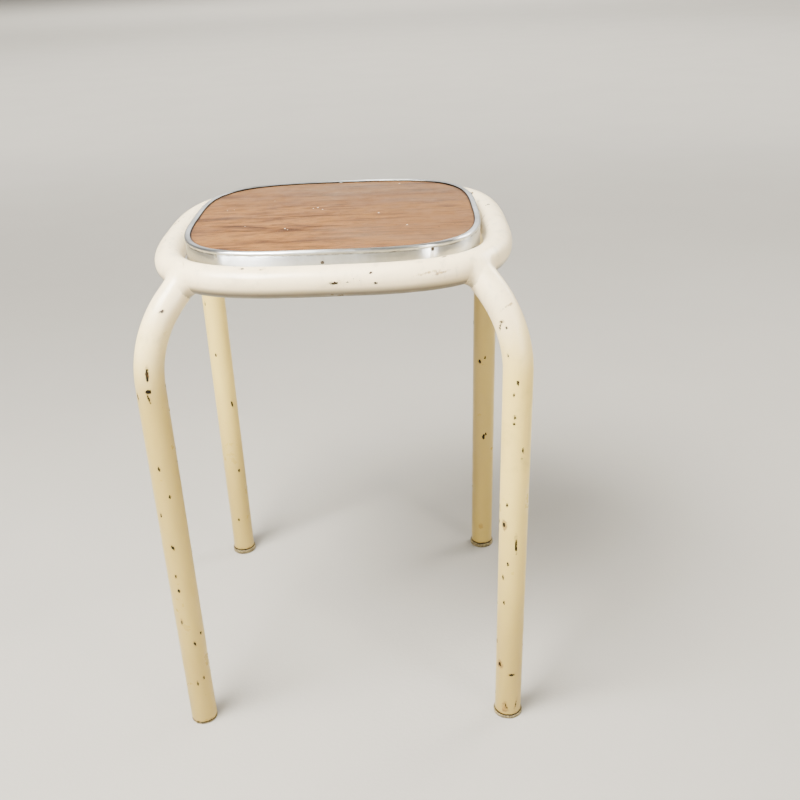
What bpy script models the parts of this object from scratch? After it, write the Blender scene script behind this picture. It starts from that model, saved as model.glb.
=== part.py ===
"""Four-legged workshop stool of bent steel tube with an inset, metal-edged seat.

Units are metres, +Z is up, and the origin is on the floor under the middle of the seat.
The stool is square in plan, and its front faces -Y.
"""

import math

import bmesh
import bpy
import numpy as np
from mathutils import Matrix, Vector

# Driving dimensions
TUBE_RADIUS = 0.0125
TUBE_WALL = 0.0015
GAP = 0.0003  # clearance between pieces that touch

RING_HALF = 0.1448  # centre line, middle of the seat to the middle of a side
RING_POWER = 3.25  # 2 is a circle, and higher values are squarer
RING_HEIGHT = 0.4427  # centre line above the floor

FOOT_SPREAD = 0.1515  # leg centre line at the floor, in X and in Y
STRAIGHT_TOP = 0.3612  # where a leg starts to bend in
BEND_RADIUS = 0.0861

SEAT_HALF = 0.1298  # outer face of the trim
SEAT_POWER = 3.46
SEAT_TOP = 0.4626  # top of the trim's lip
TRIM_WALL = 0.0015
TRIM_LIP = 0.0051  # width of the lip, seen from above
TRIM_LIP_THICKNESS = 0.0012
TRIM_ROUNDING = 0.0015
TRIM_BUTT_GAP = 0.0004
LIP_OUTER_EDGE = 3  # place in the trim's section of the outer edge of the lip's flat top
LAMINATE_THICKNESS = 0.0009
CORE_THICKNESS = 0.015
BACKING_THICKNESS = 0.0008

NAIL_COUNT = 10
NAIL_START = -0.004  # X of the first nail, at the front
NAIL_DROP = 0.0072  # mean depth of the nails below the top of the seat
NAIL_STAGGER = 0.0026  # every other nail is higher or lower than that by this
NAIL_HEAD_RADIUS = 0.0015
NAIL_HEAD_THICKNESS = 0.0012
NAIL_SHANK_RADIUS = 0.0007
NAIL_LENGTH = 0.012
NAIL_POINT = 0.002

LUG_LENGTH = 0.034
LUG_WIDTH = 0.022
LUG_THICKNESS = 0.003
LUG_HOLE_RADIUS = 0.0026
LUG_HOLE_INSET = 0.012  # hole centre from the lug's free end
LUG_CORNER = 0.006
LUG_CORNER_STEPS = 4
LUG_BEAD_RADIUS = 0.0026
LUG_BEAD_SETBACK = 0.001  # the bead's end from the lug's edge

SCREW_HEAD_RADIUS = 0.0044
SCREW_HEAD_HEIGHT = 0.0028
SCREW_SHANK_RADIUS = 0.0021
SCREW_LENGTH = 0.0165
SCREW_POINT = 0.004
WASHER_RADIUS = 0.0055
WASHER_THICKNESS = 0.001

LEG_BEAD_RADIUS = 0.0042
VENT_RADIUS = 0.004

PLUG_LENGTH = 0.024  # its top above the floor
PLUG_CHAMFER = 0.001
GLIDE_PLATE = 0.001
GLIDE_FACE_RADIUS = 0.0095  # flat part that touches the floor
GLIDE_NAIL_HEAD_RADIUS = 0.004
GLIDE_NAIL_HEAD_THICKNESS = 0.0012
GLIDE_NAIL_HEAD_RIM = 0.0004  # height of the cone between the head's edge and the shank
GLIDE_NAIL_SHANK_RADIUS = 0.0012
GLIDE_NAIL_LENGTH = 0.016
GLIDE_NAIL_POINT = 0.003

# Mesh density
RING_POINTS = 48
SEAT_POINTS = 48
TUBE_SIDES = 16
BORE_SIDES = 12
BEND_STEPS = 9

# Each leg's name, the direction of its foot, its glide's radius and height, and the height of its
# tube's end. The front left glide is no wider than its tube, and the tube stands on its rim.
LEGS = (
    ("front_left", -1, -1, 0.0127, 0.0016, 0.0019),
    ("front_right", 1, -1, 0.0140, 0.0030, 0.0019),
    ("back_left", -1, 1, 0.0140, 0.0055, 0.0029),
    ("back_right", 1, 1, 0.0140, 0.0055, 0.0029),
)
# Each side's name and its turn about Z from the right-hand side
SIDES = (("right", 0), ("back", 90), ("left", 180), ("front", 270))

# Heights that follow from the above
LAMINATE_TOP = SEAT_TOP - TRIM_LIP_THICKNESS - GAP
CORE_TOP = LAMINATE_TOP - LAMINATE_THICKNESS - GAP
CORE_BOTTOM = CORE_TOP - CORE_THICKNESS
BACKING_TOP = CORE_BOTTOM - GAP
BACKING_BOTTOM = BACKING_TOP - BACKING_THICKNESS
LUG_TOP = BACKING_BOTTOM - GAP
LUG_BOTTOM = LUG_TOP - LUG_THICKNESS
WASHER_TOP = LUG_BOTTOM - GAP
SCREW_HEAD_TOP = WASHER_TOP - WASHER_THICKNESS - GAP
LUG_FREE_END = RING_HALF - TUBE_RADIUS - LUG_LENGTH
CORE_INSET = TRIM_WALL + GAP
BORE_RADIUS = TUBE_RADIUS - TUBE_WALL


# Scene and materials


def clear_scene():
    for obj in list(bpy.data.objects):
        bpy.data.objects.remove(obj, do_unlink=True)


def material(name, colour, roughness, metallic=0.0):
    made = bpy.data.materials.new(name)
    made.use_nodes = True
    shader = made.node_tree.nodes["Principled BSDF"]
    shader.inputs["Base Color"].default_value = (*colour, 1.0)
    shader.inputs["Roughness"].default_value = roughness
    shader.inputs["Metallic"].default_value = metallic
    made.diffuse_color = (*colour, 1.0)
    return made


# Mesh helpers


def add_object(name, mesh_data, finish=None, smooth_angle=35):
    """Turns a bmesh into a named object with one material."""
    mesh = bpy.data.meshes.new(name)
    mesh_data.to_mesh(mesh)
    mesh_data.free()
    if finish:
        mesh.materials.append(finish)
    mesh.shade_smooth()
    mesh.set_sharp_from_angle(angle=math.radians(smooth_angle))
    obj = bpy.data.objects.new(name, mesh)
    bpy.context.scene.collection.objects.link(obj)
    return obj


def make_cutter(obj):
    obj.hide_render = True
    obj.display_type = "WIRE"
    return obj


def cut(obj, cutter):
    boolean = obj.modifiers.new("cut_" + cutter.name, "BOOLEAN")
    boolean.operation = "DIFFERENCE"
    boolean.solver = "EXACT"
    boolean.object = cutter


def add_loop(mesh_data, points):
    return [mesh_data.verts.new(point) for point in points]


def join_loops(mesh_data, first, second, skip=None):
    """Faces between two closed loops of vertices, all of them or all but one."""
    count = len(first)
    for i in range(count):
        if i == skip:
            continue
        j = (i + 1) % count
        mesh_data.faces.new((first[i], first[j], second[j], second[i]))


def orient_outwards(mesh_data):
    bmesh.ops.recalc_face_normals(mesh_data, faces=mesh_data.faces)


def sections_along(path, binormal, radius, sides, closed):
    """Circles of points square to a flat path, whose plane is square to binormal."""
    count = len(path)
    sections = []
    for i, centre in enumerate(path):
        before = path[(i - 1) % count] if closed or i > 0 else centre
        after = path[(i + 1) % count] if closed or i < count - 1 else centre
        normal = (after - before).cross(binormal).normalized()
        angles = [2 * math.pi * k / sides for k in range(sides)]
        sections.append(
            [centre + radius * (math.cos(a) * normal + math.sin(a) * binormal) for a in angles]
        )
    return sections


def add_skin(mesh_data, sections, closed, inwards=False):
    """A tube surface through the sections, and its loops of vertices."""
    loops = [add_loop(mesh_data, section) for section in sections]
    pairs = list(zip(loops, loops[1:]))
    if closed:
        pairs.append((loops[-1], loops[0]))
    for first, second in pairs:
        if inwards:
            first, second = second, first
        join_loops(mesh_data, first, second)
    return loops


def solid_tube(path, binormal, radius, sides=TUBE_SIDES, closed=False):
    mesh_data = bmesh.new()
    sections = sections_along(path, binormal, radius, sides, closed)
    loops = add_skin(mesh_data, sections, closed)
    if not closed:
        mesh_data.faces.new(loops[0])
        mesh_data.faces.new(loops[-1])
    orient_outwards(mesh_data)
    return mesh_data


def turned(profile, sides):
    """A solid of revolution about Z. The profile runs from the axis to the axis, or is a closed loop."""
    mesh_data = bmesh.new()
    loops = []
    for radius, height in profile:
        if radius == 0:
            loops.append([mesh_data.verts.new((0, 0, height))])
            continue
        angles = [2 * math.pi * k / sides for k in range(sides)]
        loops.append(
            add_loop(mesh_data, [(radius * math.cos(a), radius * math.sin(a), height) for a in angles])
        )
    pairs = list(zip(loops, loops[1:]))
    if profile[0][0] > 0:
        pairs.append((loops[-1], loops[0]))
    for first, second in pairs:
        if len(first) > 1 and len(second) > 1:
            join_loops(mesh_data, first, second)
            continue
        pole, loop = (first[0], second) if len(first) == 1 else (second[0], first)
        if pole.co.z == loop[0].co.z:
            mesh_data.verts.remove(pole)
            mesh_data.faces.new(loop)
            continue
        for i in range(len(loop)):
            mesh_data.faces.new((pole, loop[i], loop[(i + 1) % len(loop)]))
    orient_outwards(mesh_data)
    return mesh_data


def prism(outline, bottom, top):
    """An upright solid with this outline."""
    mesh_data = bmesh.new()
    low = add_loop(mesh_data, [(x, y, bottom) for x, y in outline])
    high = add_loop(mesh_data, [(x, y, top) for x, y in outline])
    join_loops(mesh_data, low, high)
    mesh_data.faces.new(low)
    mesh_data.faces.new(high)
    orient_outwards(mesh_data)
    return mesh_data


def add_rod(mesh_data, start, end, radius, sides):
    """Adds a closed cylinder between two points."""
    axis = end - start
    turn = axis.to_track_quat("Z", "Y").to_matrix().to_4x4()
    place = Matrix.Translation((start + end) / 2) @ turn
    bmesh.ops.create_cone(
        mesh_data,
        cap_ends=True,
        segments=sides,
        radius1=radius,
        radius2=radius,
        depth=axis.length,
        matrix=place,
    )


# Outlines


def rounded_square(half, power, count, inset=0.0):
    """Evenly spaced points (x, y) on a superellipse, moved in by inset, anticlockwise from +X."""
    angle = np.linspace(0, 2 * math.pi, 2881)
    x = half * np.sign(np.cos(angle)) * np.abs(np.cos(angle)) ** (2 / power)
    y = half * np.sign(np.sin(angle)) * np.abs(np.sin(angle)) ** (2 / power)
    length = np.concatenate([[0], np.cumsum(np.hypot(np.diff(x), np.diff(y)))])
    wanted = np.linspace(0, length[-1], count, endpoint=False)
    x = np.interp(wanted, length, x)
    y = np.interp(wanted, length, y)
    normal_x = np.sign(x) * np.abs(x) ** (power - 1)
    normal_y = np.sign(y) * np.abs(y) ** (power - 1)
    size = np.hypot(normal_x, normal_y)
    return list(zip(x - inset * normal_x / size, y - inset * normal_y / size))


def ring_path():
    points = rounded_square(RING_HALF, RING_POWER, RING_POINTS)
    return [Vector((x, y, RING_HEIGHT)) for x, y in points]


def seat_outline(inset):
    return rounded_square(SEAT_HALF, SEAT_POWER, SEAT_POINTS, inset)


# Seat ring


def ring_solid(radius, name):
    return make_cutter(
        add_object(name, solid_tube(ring_path(), Vector((0, 0, 1)), radius, closed=True))
    )


def leg_plane(side_x, side_y):
    """The outward direction of a leg, and the normal of the upright plane that it lies in."""
    outward = Vector((side_x, side_y, 0)).normalized()
    return outward, Vector((-outward.y, outward.x, 0))


def leg_path(side_x, side_y, foot):
    """Centre line of a leg: upright, then a bend, then straight into the middle of the ring's tube."""
    outward, _ = leg_plane(side_x, side_y)
    reach = FOOT_SPREAD * math.sqrt(2)
    bend_centre = Vector((reach - BEND_RADIUS, STRAIGHT_TOP))
    ring_centre = Vector((RING_HALF * 2 ** (0.5 - 1 / RING_POWER), RING_HEIGHT))
    sight = ring_centre - bend_centre
    full_bend = math.atan2(sight.y, sight.x) - math.acos(BEND_RADIUS / sight.length)
    line = [Vector((reach, foot))]
    for step in range(BEND_STEPS + 1):
        angle = full_bend * step / BEND_STEPS
        line.append(bend_centre + BEND_RADIUS * Vector((math.cos(angle), math.sin(angle))))
    line.append(ring_centre)
    return [outward * radial + Vector((0, 0, height)) for radial, height in line]


def build_ring(enamel):
    mesh_data = bmesh.new()
    up = Vector((0, 0, 1))
    path = ring_path()
    add_skin(mesh_data, sections_along(path, up, TUBE_RADIUS, TUBE_SIDES, True), True)
    add_skin(mesh_data, sections_along(path, up, BORE_RADIUS, BORE_SIDES, True), True, inwards=True)
    ring = add_object("ring_tube", mesh_data, enamel)
    vents = bmesh.new()
    for _, side_x, side_y, *_ in LEGS:
        path = leg_path(side_x, side_y, 0)
        add_rod(vents, path[-2], path[-1], VENT_RADIUS, BORE_SIDES)
    cut(ring, make_cutter(add_object("cutter_vents", vents)))


# Legs and their welds


def build_leg(name, side_x, side_y, foot, ring_cutter, enamel):
    _, binormal = leg_plane(side_x, side_y)
    path = leg_path(side_x, side_y, foot)
    mesh_data = bmesh.new()
    skins = []
    for radius in (TUBE_RADIUS, BORE_RADIUS):
        sections = sections_along(path, binormal, radius, TUBE_SIDES, False)
        skins.append(add_skin(mesh_data, sections, False))
    outer, inner = skins
    for end in (0, -1):
        join_loops(mesh_data, outer[end], inner[end])
    orient_outwards(mesh_data)
    cut(add_object("leg_" + name, mesh_data, enamel), ring_cutter)


def distance_to(path, point):
    """Distance from a point to a closed path of straight pieces."""
    starts = np.array(path)
    along = np.roll(starts, -1, axis=0) - starts
    share = ((np.array(point) - starts) * along).sum(axis=1) / (along**2).sum(axis=1)
    nearest = starts + np.clip(share, 0, 1)[:, None] * along
    return np.linalg.norm(nearest - np.array(point), axis=1).min()


def joint_curve(side_x, side_y, points=28):
    """Closed curve where the outside of a leg meets the outside of the ring."""
    _, binormal = leg_plane(side_x, side_y)
    path = leg_path(side_x, side_y, 0)[1:]
    ring = ring_path()
    sections = sections_along(path, binormal, TUBE_RADIUS, points, False)
    curve = []
    for k in range(points):
        line = [section[k] for section in sections]
        low, high = line[-2], line[-1]
        for _ in range(20):
            middle = (low + high) / 2
            if distance_to(ring, middle) > TUBE_RADIUS:
                low = middle
            else:
                high = middle
        curve.append((low + high) / 2)
    return curve


def bead_along(curve, radius, sides=8):
    """A closed bead of weld along a curve that isn't flat."""
    mesh_data = bmesh.new()
    middle = sum(curve, Vector()) / len(curve)
    sections = []
    for i, centre in enumerate(curve):
        along = (curve[(i + 1) % len(curve)] - curve[i - 1]).normalized()
        outward = centre - middle
        outward = (outward - outward.dot(along) * along).normalized()
        across = along.cross(outward)
        angles = [2 * math.pi * k / sides for k in range(sides)]
        sections.append(
            [centre + radius * (math.cos(a) * outward + math.sin(a) * across) for a in angles]
        )
    add_skin(mesh_data, sections, True)
    orient_outwards(mesh_data)
    return mesh_data


def build_leg_weld(name, side_x, side_y, ring_cutter, enamel):
    _, binormal = leg_plane(side_x, side_y)
    leg = solid_tube(leg_path(side_x, side_y, 0), binormal, TUBE_RADIUS + GAP)
    leg_cutter = make_cutter(add_object("cutter_leg_" + name, leg))
    bead = bead_along(joint_curve(side_x, side_y), LEG_BEAD_RADIUS)
    weld = add_object("leg_weld_" + name, bead, enamel)
    cut(weld, ring_cutter)
    cut(weld, leg_cutter)


# Feet


def glide_profile(radius, height):
    """A pressed steel cup: flat underneath, with a rounded lower edge and an upright rim."""
    inner = radius - GLIDE_PLATE
    chamfer = 0.3 * height
    return [
        (0, 0),
        (GLIDE_FACE_RADIUS, 0),
        (radius - chamfer, 0.12 * height),
        (radius, 0.5 * height),
        (radius, height),
        (inner, height),
        (inner, max(0.5 * height, GLIDE_PLATE) + GAP),
        (inner - chamfer, GLIDE_PLATE),
        (0, GLIDE_PLATE),
    ]


def glide_nail_profile(head_bottom, head_top):
    return [
        (0, head_bottom),
        (GLIDE_NAIL_HEAD_RADIUS, head_bottom),
        (GLIDE_NAIL_HEAD_RADIUS, head_top - GLIDE_NAIL_HEAD_RIM),
        (GLIDE_NAIL_SHANK_RADIUS, head_top),
        (GLIDE_NAIL_SHANK_RADIUS, GLIDE_NAIL_LENGTH - GLIDE_NAIL_POINT),
        (0, GLIDE_NAIL_LENGTH),
    ]


def plug_profile(bottom):
    """A wooden dowel with a hole for the nail and chamfered ends."""
    radius = BORE_RADIUS - GAP
    hole = GLIDE_NAIL_SHANK_RADIUS + GAP
    return [
        (hole, bottom),
        (radius - PLUG_CHAMFER, bottom),
        (radius, bottom + PLUG_CHAMFER),
        (radius, PLUG_LENGTH - PLUG_CHAMFER),
        (radius - PLUG_CHAMFER, PLUG_LENGTH),
        (hole, PLUG_LENGTH),
    ]


def build_foot(name, side_x, side_y, radius, height, finishes):
    place = Matrix.Translation((side_x * FOOT_SPREAD, side_y * FOOT_SPREAD, 0))
    head_bottom = GLIDE_PLATE + GAP
    head_top = head_bottom + GLIDE_NAIL_HEAD_THICKNESS
    pieces = (
        ("glide_", glide_profile(radius, height), 24, "steel"),
        ("glide_nail_", glide_nail_profile(head_bottom, head_top), 12, "nail"),
        ("foot_plug_", plug_profile(head_top + GAP), TUBE_SIDES, "wood"),
    )
    for prefix, profile, sides, finish in pieces:
        piece = add_object(prefix + name, turned(profile, sides), finishes[finish])
        piece.matrix_world = place


# Seat


def build_trim(aluminium, nail_cutter):
    """One strip bent round the seat. Its ends face each other at the back, and the lip's top is one face."""
    top = SEAT_TOP
    section = [
        (0, BACKING_BOTTOM),
        (0, top - TRIM_ROUNDING),
        (TRIM_ROUNDING * 0.3, top - TRIM_ROUNDING * 0.3),
        (TRIM_ROUNDING, top),
        (TRIM_LIP, top),
        (TRIM_LIP, top - TRIM_LIP_THICKNESS),
        (TRIM_WALL, top - TRIM_LIP_THICKNESS),
        (TRIM_WALL, BACKING_BOTTOM),
    ]
    start = SEAT_POINTS // 4  # the middle of the back
    columns = []
    for inset, height in section:
        outline = seat_outline(inset)
        line = [Vector((x, y, height)) for x, y in outline[start:] + outline[: start + 1]]
        half_gap = Vector((TRIM_BUTT_GAP / 2, 0, 0))
        line[0] -= half_gap
        line[-1] += half_gap
        columns.append(line)
    mesh_data = bmesh.new()
    loops = [add_loop(mesh_data, station) for station in zip(*columns)]
    for first, second in zip(loops, loops[1:]):
        join_loops(mesh_data, first, second, skip=LIP_OUTER_EDGE)
    outer_edge = [loop[LIP_OUTER_EDGE] for loop in loops]
    inner_edge = [loop[LIP_OUTER_EDGE + 1] for loop in loops]
    mesh_data.faces.new(outer_edge + inner_edge[::-1])
    mesh_data.faces.new(loops[0])
    mesh_data.faces.new(loops[-1])
    orient_outwards(mesh_data)
    cut(add_object("edge_trim", mesh_data, aluminium), nail_cutter)


def nail_places():
    """Where each nail enters the trim, and its direction into the seat."""
    dense = 2000
    outline = rounded_square(SEAT_HALF, SEAT_POWER, dense)
    front = [i for i, (x, y) in enumerate(outline) if y < 0]
    first = min(front, key=lambda i: abs(outline[i][0] - NAIL_START))
    places = []
    for k in range(NAIL_COUNT):
        index = (first + round(k * dense / NAIL_COUNT)) % dense
        x, y = outline[index]
        after = outline[(index + 1) % dense]
        before = outline[index - 1]
        inward = Vector((before[1] - after[1], after[0] - before[0], 0)).normalized()
        height = SEAT_TOP - NAIL_DROP + NAIL_STAGGER * (1 if k % 2 else -1)
        places.append((Vector((x, y, height)), inward))
    return places


def build_nails(steel):
    """The nails, each with its head sunk in the trim, and the cutters for their holes."""
    profile = [
        (0, 0),
        (NAIL_HEAD_RADIUS, 0.2 * NAIL_HEAD_THICKNESS),
        (NAIL_HEAD_RADIUS, 0.7 * NAIL_HEAD_THICKNESS),
        (NAIL_SHANK_RADIUS, NAIL_HEAD_THICKNESS),
        (NAIL_SHANK_RADIUS, NAIL_LENGTH - NAIL_POINT),
        (0, NAIL_LENGTH),
    ]
    head_hole = NAIL_HEAD_RADIUS + GAP
    shank_hole = NAIL_SHANK_RADIUS + 1.5 * GAP
    head_holes = bmesh.new()
    shank_holes = bmesh.new()
    for number, (place, inward) in enumerate(nail_places(), start=1):
        nail = add_object(f"trim_nail_{number:02d}", turned(profile, 8), steel)
        turn = inward.to_track_quat("Z", "Y").to_matrix().to_4x4()
        nail.matrix_world = Matrix.Translation(place) @ turn
        outside = place - inward * TRIM_WALL
        add_rod(head_holes, outside, place + 2 * inward * TRIM_WALL, head_hole, 8)
        add_rod(shank_holes, outside, place + inward * (NAIL_LENGTH + 2 * GAP), shank_hole, 6)
    trim_cutter = make_cutter(add_object("cutter_nail_heads", head_holes))
    core_cutter = make_cutter(add_object("cutter_nail_shanks", shank_holes))
    return trim_cutter, core_cutter


def screw_places():
    reach = LUG_FREE_END + LUG_HOLE_INSET
    for name, degrees in SIDES:
        angle = math.radians(degrees)
        yield name, Vector((reach * math.cos(angle), reach * math.sin(angle), 0))


def build_panel(finishes, nail_cutter):
    """Core, laminate and backing sheet."""
    screw_holes = bmesh.new()
    for _, place in screw_places():
        low = place + Vector((0, 0, LUG_BOTTOM))
        high = place + Vector((0, 0, SCREW_HEAD_TOP + SCREW_LENGTH + 2 * GAP))
        add_rod(screw_holes, low, high, SCREW_SHANK_RADIUS + GAP, BORE_SIDES)
    screw_cutter = make_cutter(add_object("cutter_screws", screw_holes))

    core = prism(seat_outline(CORE_INSET), CORE_BOTTOM, CORE_TOP)
    core = add_object("seat_core", core, finishes["plywood"])
    cut(core, nail_cutter)
    cut(core, screw_cutter)

    laminate = prism(seat_outline(CORE_INSET), CORE_TOP + GAP, LAMINATE_TOP)
    add_object("seat_laminate", laminate, finishes["laminate"])

    backing = prism(seat_outline(CORE_INSET), BACKING_BOTTOM, BACKING_TOP)
    cut(add_object("backing_sheet", backing, finishes["backing"]), screw_cutter)


# Lugs that carry the seat


def lug_outline():
    """A strip along +X with a rounded free end. Its other end is cut to the ring's tube."""
    half = LUG_WIDTH / 2
    outline = [(RING_HALF, -half), (RING_HALF, half)]
    for side, start in ((1, 90), (-1, 180)):
        for step in range(LUG_CORNER_STEPS + 1):
            angle = math.radians(start + 90 * step / LUG_CORNER_STEPS)
            x = LUG_FREE_END + LUG_CORNER * (1 + math.cos(angle))
            y = side * (half - LUG_CORNER) + LUG_CORNER * math.sin(angle)
            outline.append((x, y))
    return outline


def build_lug(name, degrees, ring_cutter, finishes):
    """A lug, its weld, its screw and its washer, made at the right-hand side and turned into place."""
    turn = Matrix.Rotation(math.radians(degrees), 4, "Z")
    hole_x = LUG_FREE_END + LUG_HOLE_INSET

    def turned_object(part_name, mesh_data, finish=None):
        mesh_data.transform(turn)
        return add_object(part_name, mesh_data, finish)

    lug = turned_object("seat_lug_" + name, prism(lug_outline(), LUG_BOTTOM, LUG_TOP), finishes["enamel"])
    hole = bmesh.new()
    low = Vector((hole_x, 0, LUG_BOTTOM - LUG_THICKNESS))
    add_rod(hole, low, low + Vector((0, 0, 3 * LUG_THICKNESS)), LUG_HOLE_RADIUS, BORE_SIDES)
    cut(lug, ring_cutter)
    cut(lug, make_cutter(turned_object("cutter_lug_hole_" + name, hole)))

    bead = bmesh.new()
    end = Vector((RING_HALF - TUBE_RADIUS, LUG_WIDTH / 2 - LUG_BEAD_SETBACK, LUG_BOTTOM))
    add_rod(bead, end, end * Vector((1, -1, 1)), LUG_BEAD_RADIUS, 10)
    weld = turned_object("lug_weld_" + name, bead, finishes["enamel"])
    corners = [(LUG_FREE_END, -1), (RING_HALF, -1), (RING_HALF, 1), (LUG_FREE_END, 1)]
    around = [(x, side * LUG_WIDTH) for x, side in corners]
    above = prism(around, LUG_BOTTOM - GAP, LUG_TOP + LUG_BEAD_RADIUS)
    cut(weld, ring_cutter)
    cut(weld, make_cutter(turned_object("cutter_above_lug_weld_" + name, above)))

    clearance = SCREW_SHANK_RADIUS + GAP
    low = WASHER_TOP - WASHER_THICKNESS
    washer = [(clearance, low), (WASHER_RADIUS, low), (WASHER_RADIUS, WASHER_TOP), (clearance, WASHER_TOP)]
    top = SCREW_HEAD_TOP
    screw = [
        (0, top - SCREW_HEAD_HEIGHT),
        (SCREW_HEAD_RADIUS * 0.6, top - SCREW_HEAD_HEIGHT * 0.9),
        (SCREW_HEAD_RADIUS, top - SCREW_HEAD_HEIGHT * 0.4),
        (SCREW_HEAD_RADIUS, top),
        (SCREW_SHANK_RADIUS, top),
        (SCREW_SHANK_RADIUS, top + SCREW_LENGTH - SCREW_POINT),
        (0, top + SCREW_LENGTH),
    ]
    for prefix, profile in (("seat_washer_", washer), ("seat_screw_", screw)):
        piece = add_object(prefix + name, turned(profile, 14), finishes["zinc"])
        piece.matrix_world = turn @ Matrix.Translation((hole_x, 0, 0))


# Assembly


def main():
    clear_scene()
    finishes = {
        "enamel": material("cream_enamel", (0.79, 0.73, 0.58), 0.32),
        "aluminium": material("satin_aluminium", (0.72, 0.73, 0.72), 0.35, 1.0),
        "laminate": material("wood_grain_laminate", (0.44, 0.21, 0.11), 0.45),
        "plywood": material("plywood", (0.62, 0.46, 0.28), 0.7),
        "backing": material("backing_sheet", (0.30, 0.20, 0.13), 0.6),
        "zinc": material("zinc_plate", (0.60, 0.60, 0.58), 0.4, 1.0),
        "steel": material("rusty_steel", (0.30, 0.22, 0.14), 0.6, 0.8),
        "nail": material("nail_steel", (0.25, 0.23, 0.21), 0.5, 1.0),
        "wood": material("beech_plug", (0.50, 0.33, 0.18), 0.7),
    }
    ring_cutter = ring_solid(TUBE_RADIUS + GAP, "cutter_ring")
    build_ring(finishes["enamel"])
    for name, side_x, side_y, radius, height, tube_end in LEGS:
        build_leg(name, side_x, side_y, tube_end, ring_cutter, finishes["enamel"])
        build_leg_weld(name, side_x, side_y, ring_cutter, finishes["enamel"])
        build_foot(name, side_x, side_y, radius, height, finishes)
    trim_cutter, core_cutter = build_nails(finishes["nail"])
    build_trim(finishes["aluminium"], trim_cutter)
    build_panel(finishes, core_cutter)
    for name, degrees in SIDES:
        build_lug(name, degrees, ring_cutter, finishes)


main()
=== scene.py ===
"""A worn four-legged workshop stool: its looks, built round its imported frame.

Lengths are metres, +Z is up and the front of the stool faces -Y. Each piece takes its size and
place from the frame's own nodes, and stands for the node of the same part.
"""

import logging
import math
from collections.abc import Callable, Iterator, Sequence
from contextlib import contextmanager
from dataclasses import dataclass, field
from enum import Enum

import bmesh
import bpy
import numpy as np
from mathutils import Matrix, Vector


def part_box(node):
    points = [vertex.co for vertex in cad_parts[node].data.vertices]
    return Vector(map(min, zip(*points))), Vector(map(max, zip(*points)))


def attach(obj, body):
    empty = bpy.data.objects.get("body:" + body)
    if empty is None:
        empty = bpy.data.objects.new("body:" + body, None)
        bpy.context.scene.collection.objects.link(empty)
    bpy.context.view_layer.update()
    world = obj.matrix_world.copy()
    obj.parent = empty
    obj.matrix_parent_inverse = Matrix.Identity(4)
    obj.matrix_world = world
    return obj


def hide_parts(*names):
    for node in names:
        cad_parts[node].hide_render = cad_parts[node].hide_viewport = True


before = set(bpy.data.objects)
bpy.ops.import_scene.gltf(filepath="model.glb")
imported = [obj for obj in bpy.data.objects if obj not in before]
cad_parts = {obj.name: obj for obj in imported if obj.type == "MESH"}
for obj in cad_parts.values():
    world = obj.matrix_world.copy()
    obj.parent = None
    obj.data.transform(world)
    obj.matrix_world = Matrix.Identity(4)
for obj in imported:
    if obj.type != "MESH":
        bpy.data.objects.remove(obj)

LOG = logging.getLogger("workshop_stool")
MERGE_WITHIN = 1e-6
SEAT_POWER = 3.46
# Name of the mesh attribute that darkens the enamel and the trim, with grime and painted shade.
GRIME_AND_SHADE = "grime"
Profile = Sequence[tuple[float, float]]
Finishes = dict["Slot", bpy.types.Material]


# Names that pieces are chosen by


class Slot(Enum):
    """The record's material slots."""

    ENAMEL = "cream_enamel"
    ALUMINIUM = "satin_aluminium"
    LAMINATE = "wood_grain_laminate"
    PLYWOOD = "plywood"
    BACKING = "backing_sheet"
    ZINC = "zinc_plate"
    GLIDE = "worn_glide_steel"
    NAIL = "nail_steel"
    BEECH = "beech"


class Corner(Enum):
    """The stool's corners, each with the direction of its foot in X and in Y."""

    FRONT_LEFT = (-1, -1)
    FRONT_RIGHT = (1, -1)
    BACK_LEFT = (-1, 1)
    BACK_RIGHT = (1, 1)

    @property
    def label(self) -> str:
        """The corner's name as the frame writes it."""
        return self.name.lower()

    @property
    def outward(self) -> Vector:
        """The level direction from the middle of the seat to this corner."""
        return Vector((*self.value, 0)).normalized()


class Side(Enum):
    """The seat's sides, each with its turn about Z from the right-hand side, in degrees."""

    RIGHT = 0
    BACK = 90
    LEFT = 180
    FRONT = 270

    @property
    def label(self) -> str:
        """The side's name as the frame writes it."""
        return self.name.lower()

    @property
    def turn(self) -> Matrix:
        """The rotation that takes a piece from the right-hand side to this one."""
        return Matrix.Rotation(math.radians(self.value), 4, "Z")


class Wear(Enum):
    """Kinds of damage to the enamel, each with the mesh attribute that holds its distance."""

    CHIP = "chip_distance"
    RUST = "rust_distance"


# Modelling by hand


def deselect_all() -> None:
    """Leaves no object selected."""
    bpy.ops.object.select_all(action="DESELECT")


def take(obj: bpy.types.Object) -> None:
    """Makes one object the only one selected, and the active one."""
    deselect_all()
    obj.select_set(True)
    bpy.context.view_layer.objects.active = obj


def added(name: str) -> bpy.types.Object:
    """Names the primitive that was just added.

    Args:
        name: The object's name, which its mesh gets too.

    Returns:
        The new object.
    """
    obj = bpy.context.active_object
    obj.name = obj.data.name = name
    return obj


@contextmanager
def editing(obj: bpy.types.Object) -> Iterator[None]:
    """Edits one object's mesh, and goes back to object mode at the end."""
    take(obj)
    bpy.ops.object.mode_set(mode="EDIT")
    try:
        yield
    finally:
        bpy.ops.object.mode_set(mode="OBJECT")


def pick_edges(test: Callable[[bmesh.types.BMEdge], bool]) -> None:
    """Selects just the edges that pass a test, in edit mode.

    Args:
        test: Says whether an edge is wanted.
    """
    bpy.ops.mesh.select_mode(type="EDGE")
    bpy.ops.mesh.select_all(action="DESELECT")
    mesh = bpy.context.edit_object.data
    for edge in bmesh.from_edit_mesh(mesh).edges:
        if test(edge):
            edge.select_set(True)
    bmesh.update_edit_mesh(mesh)


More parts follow.
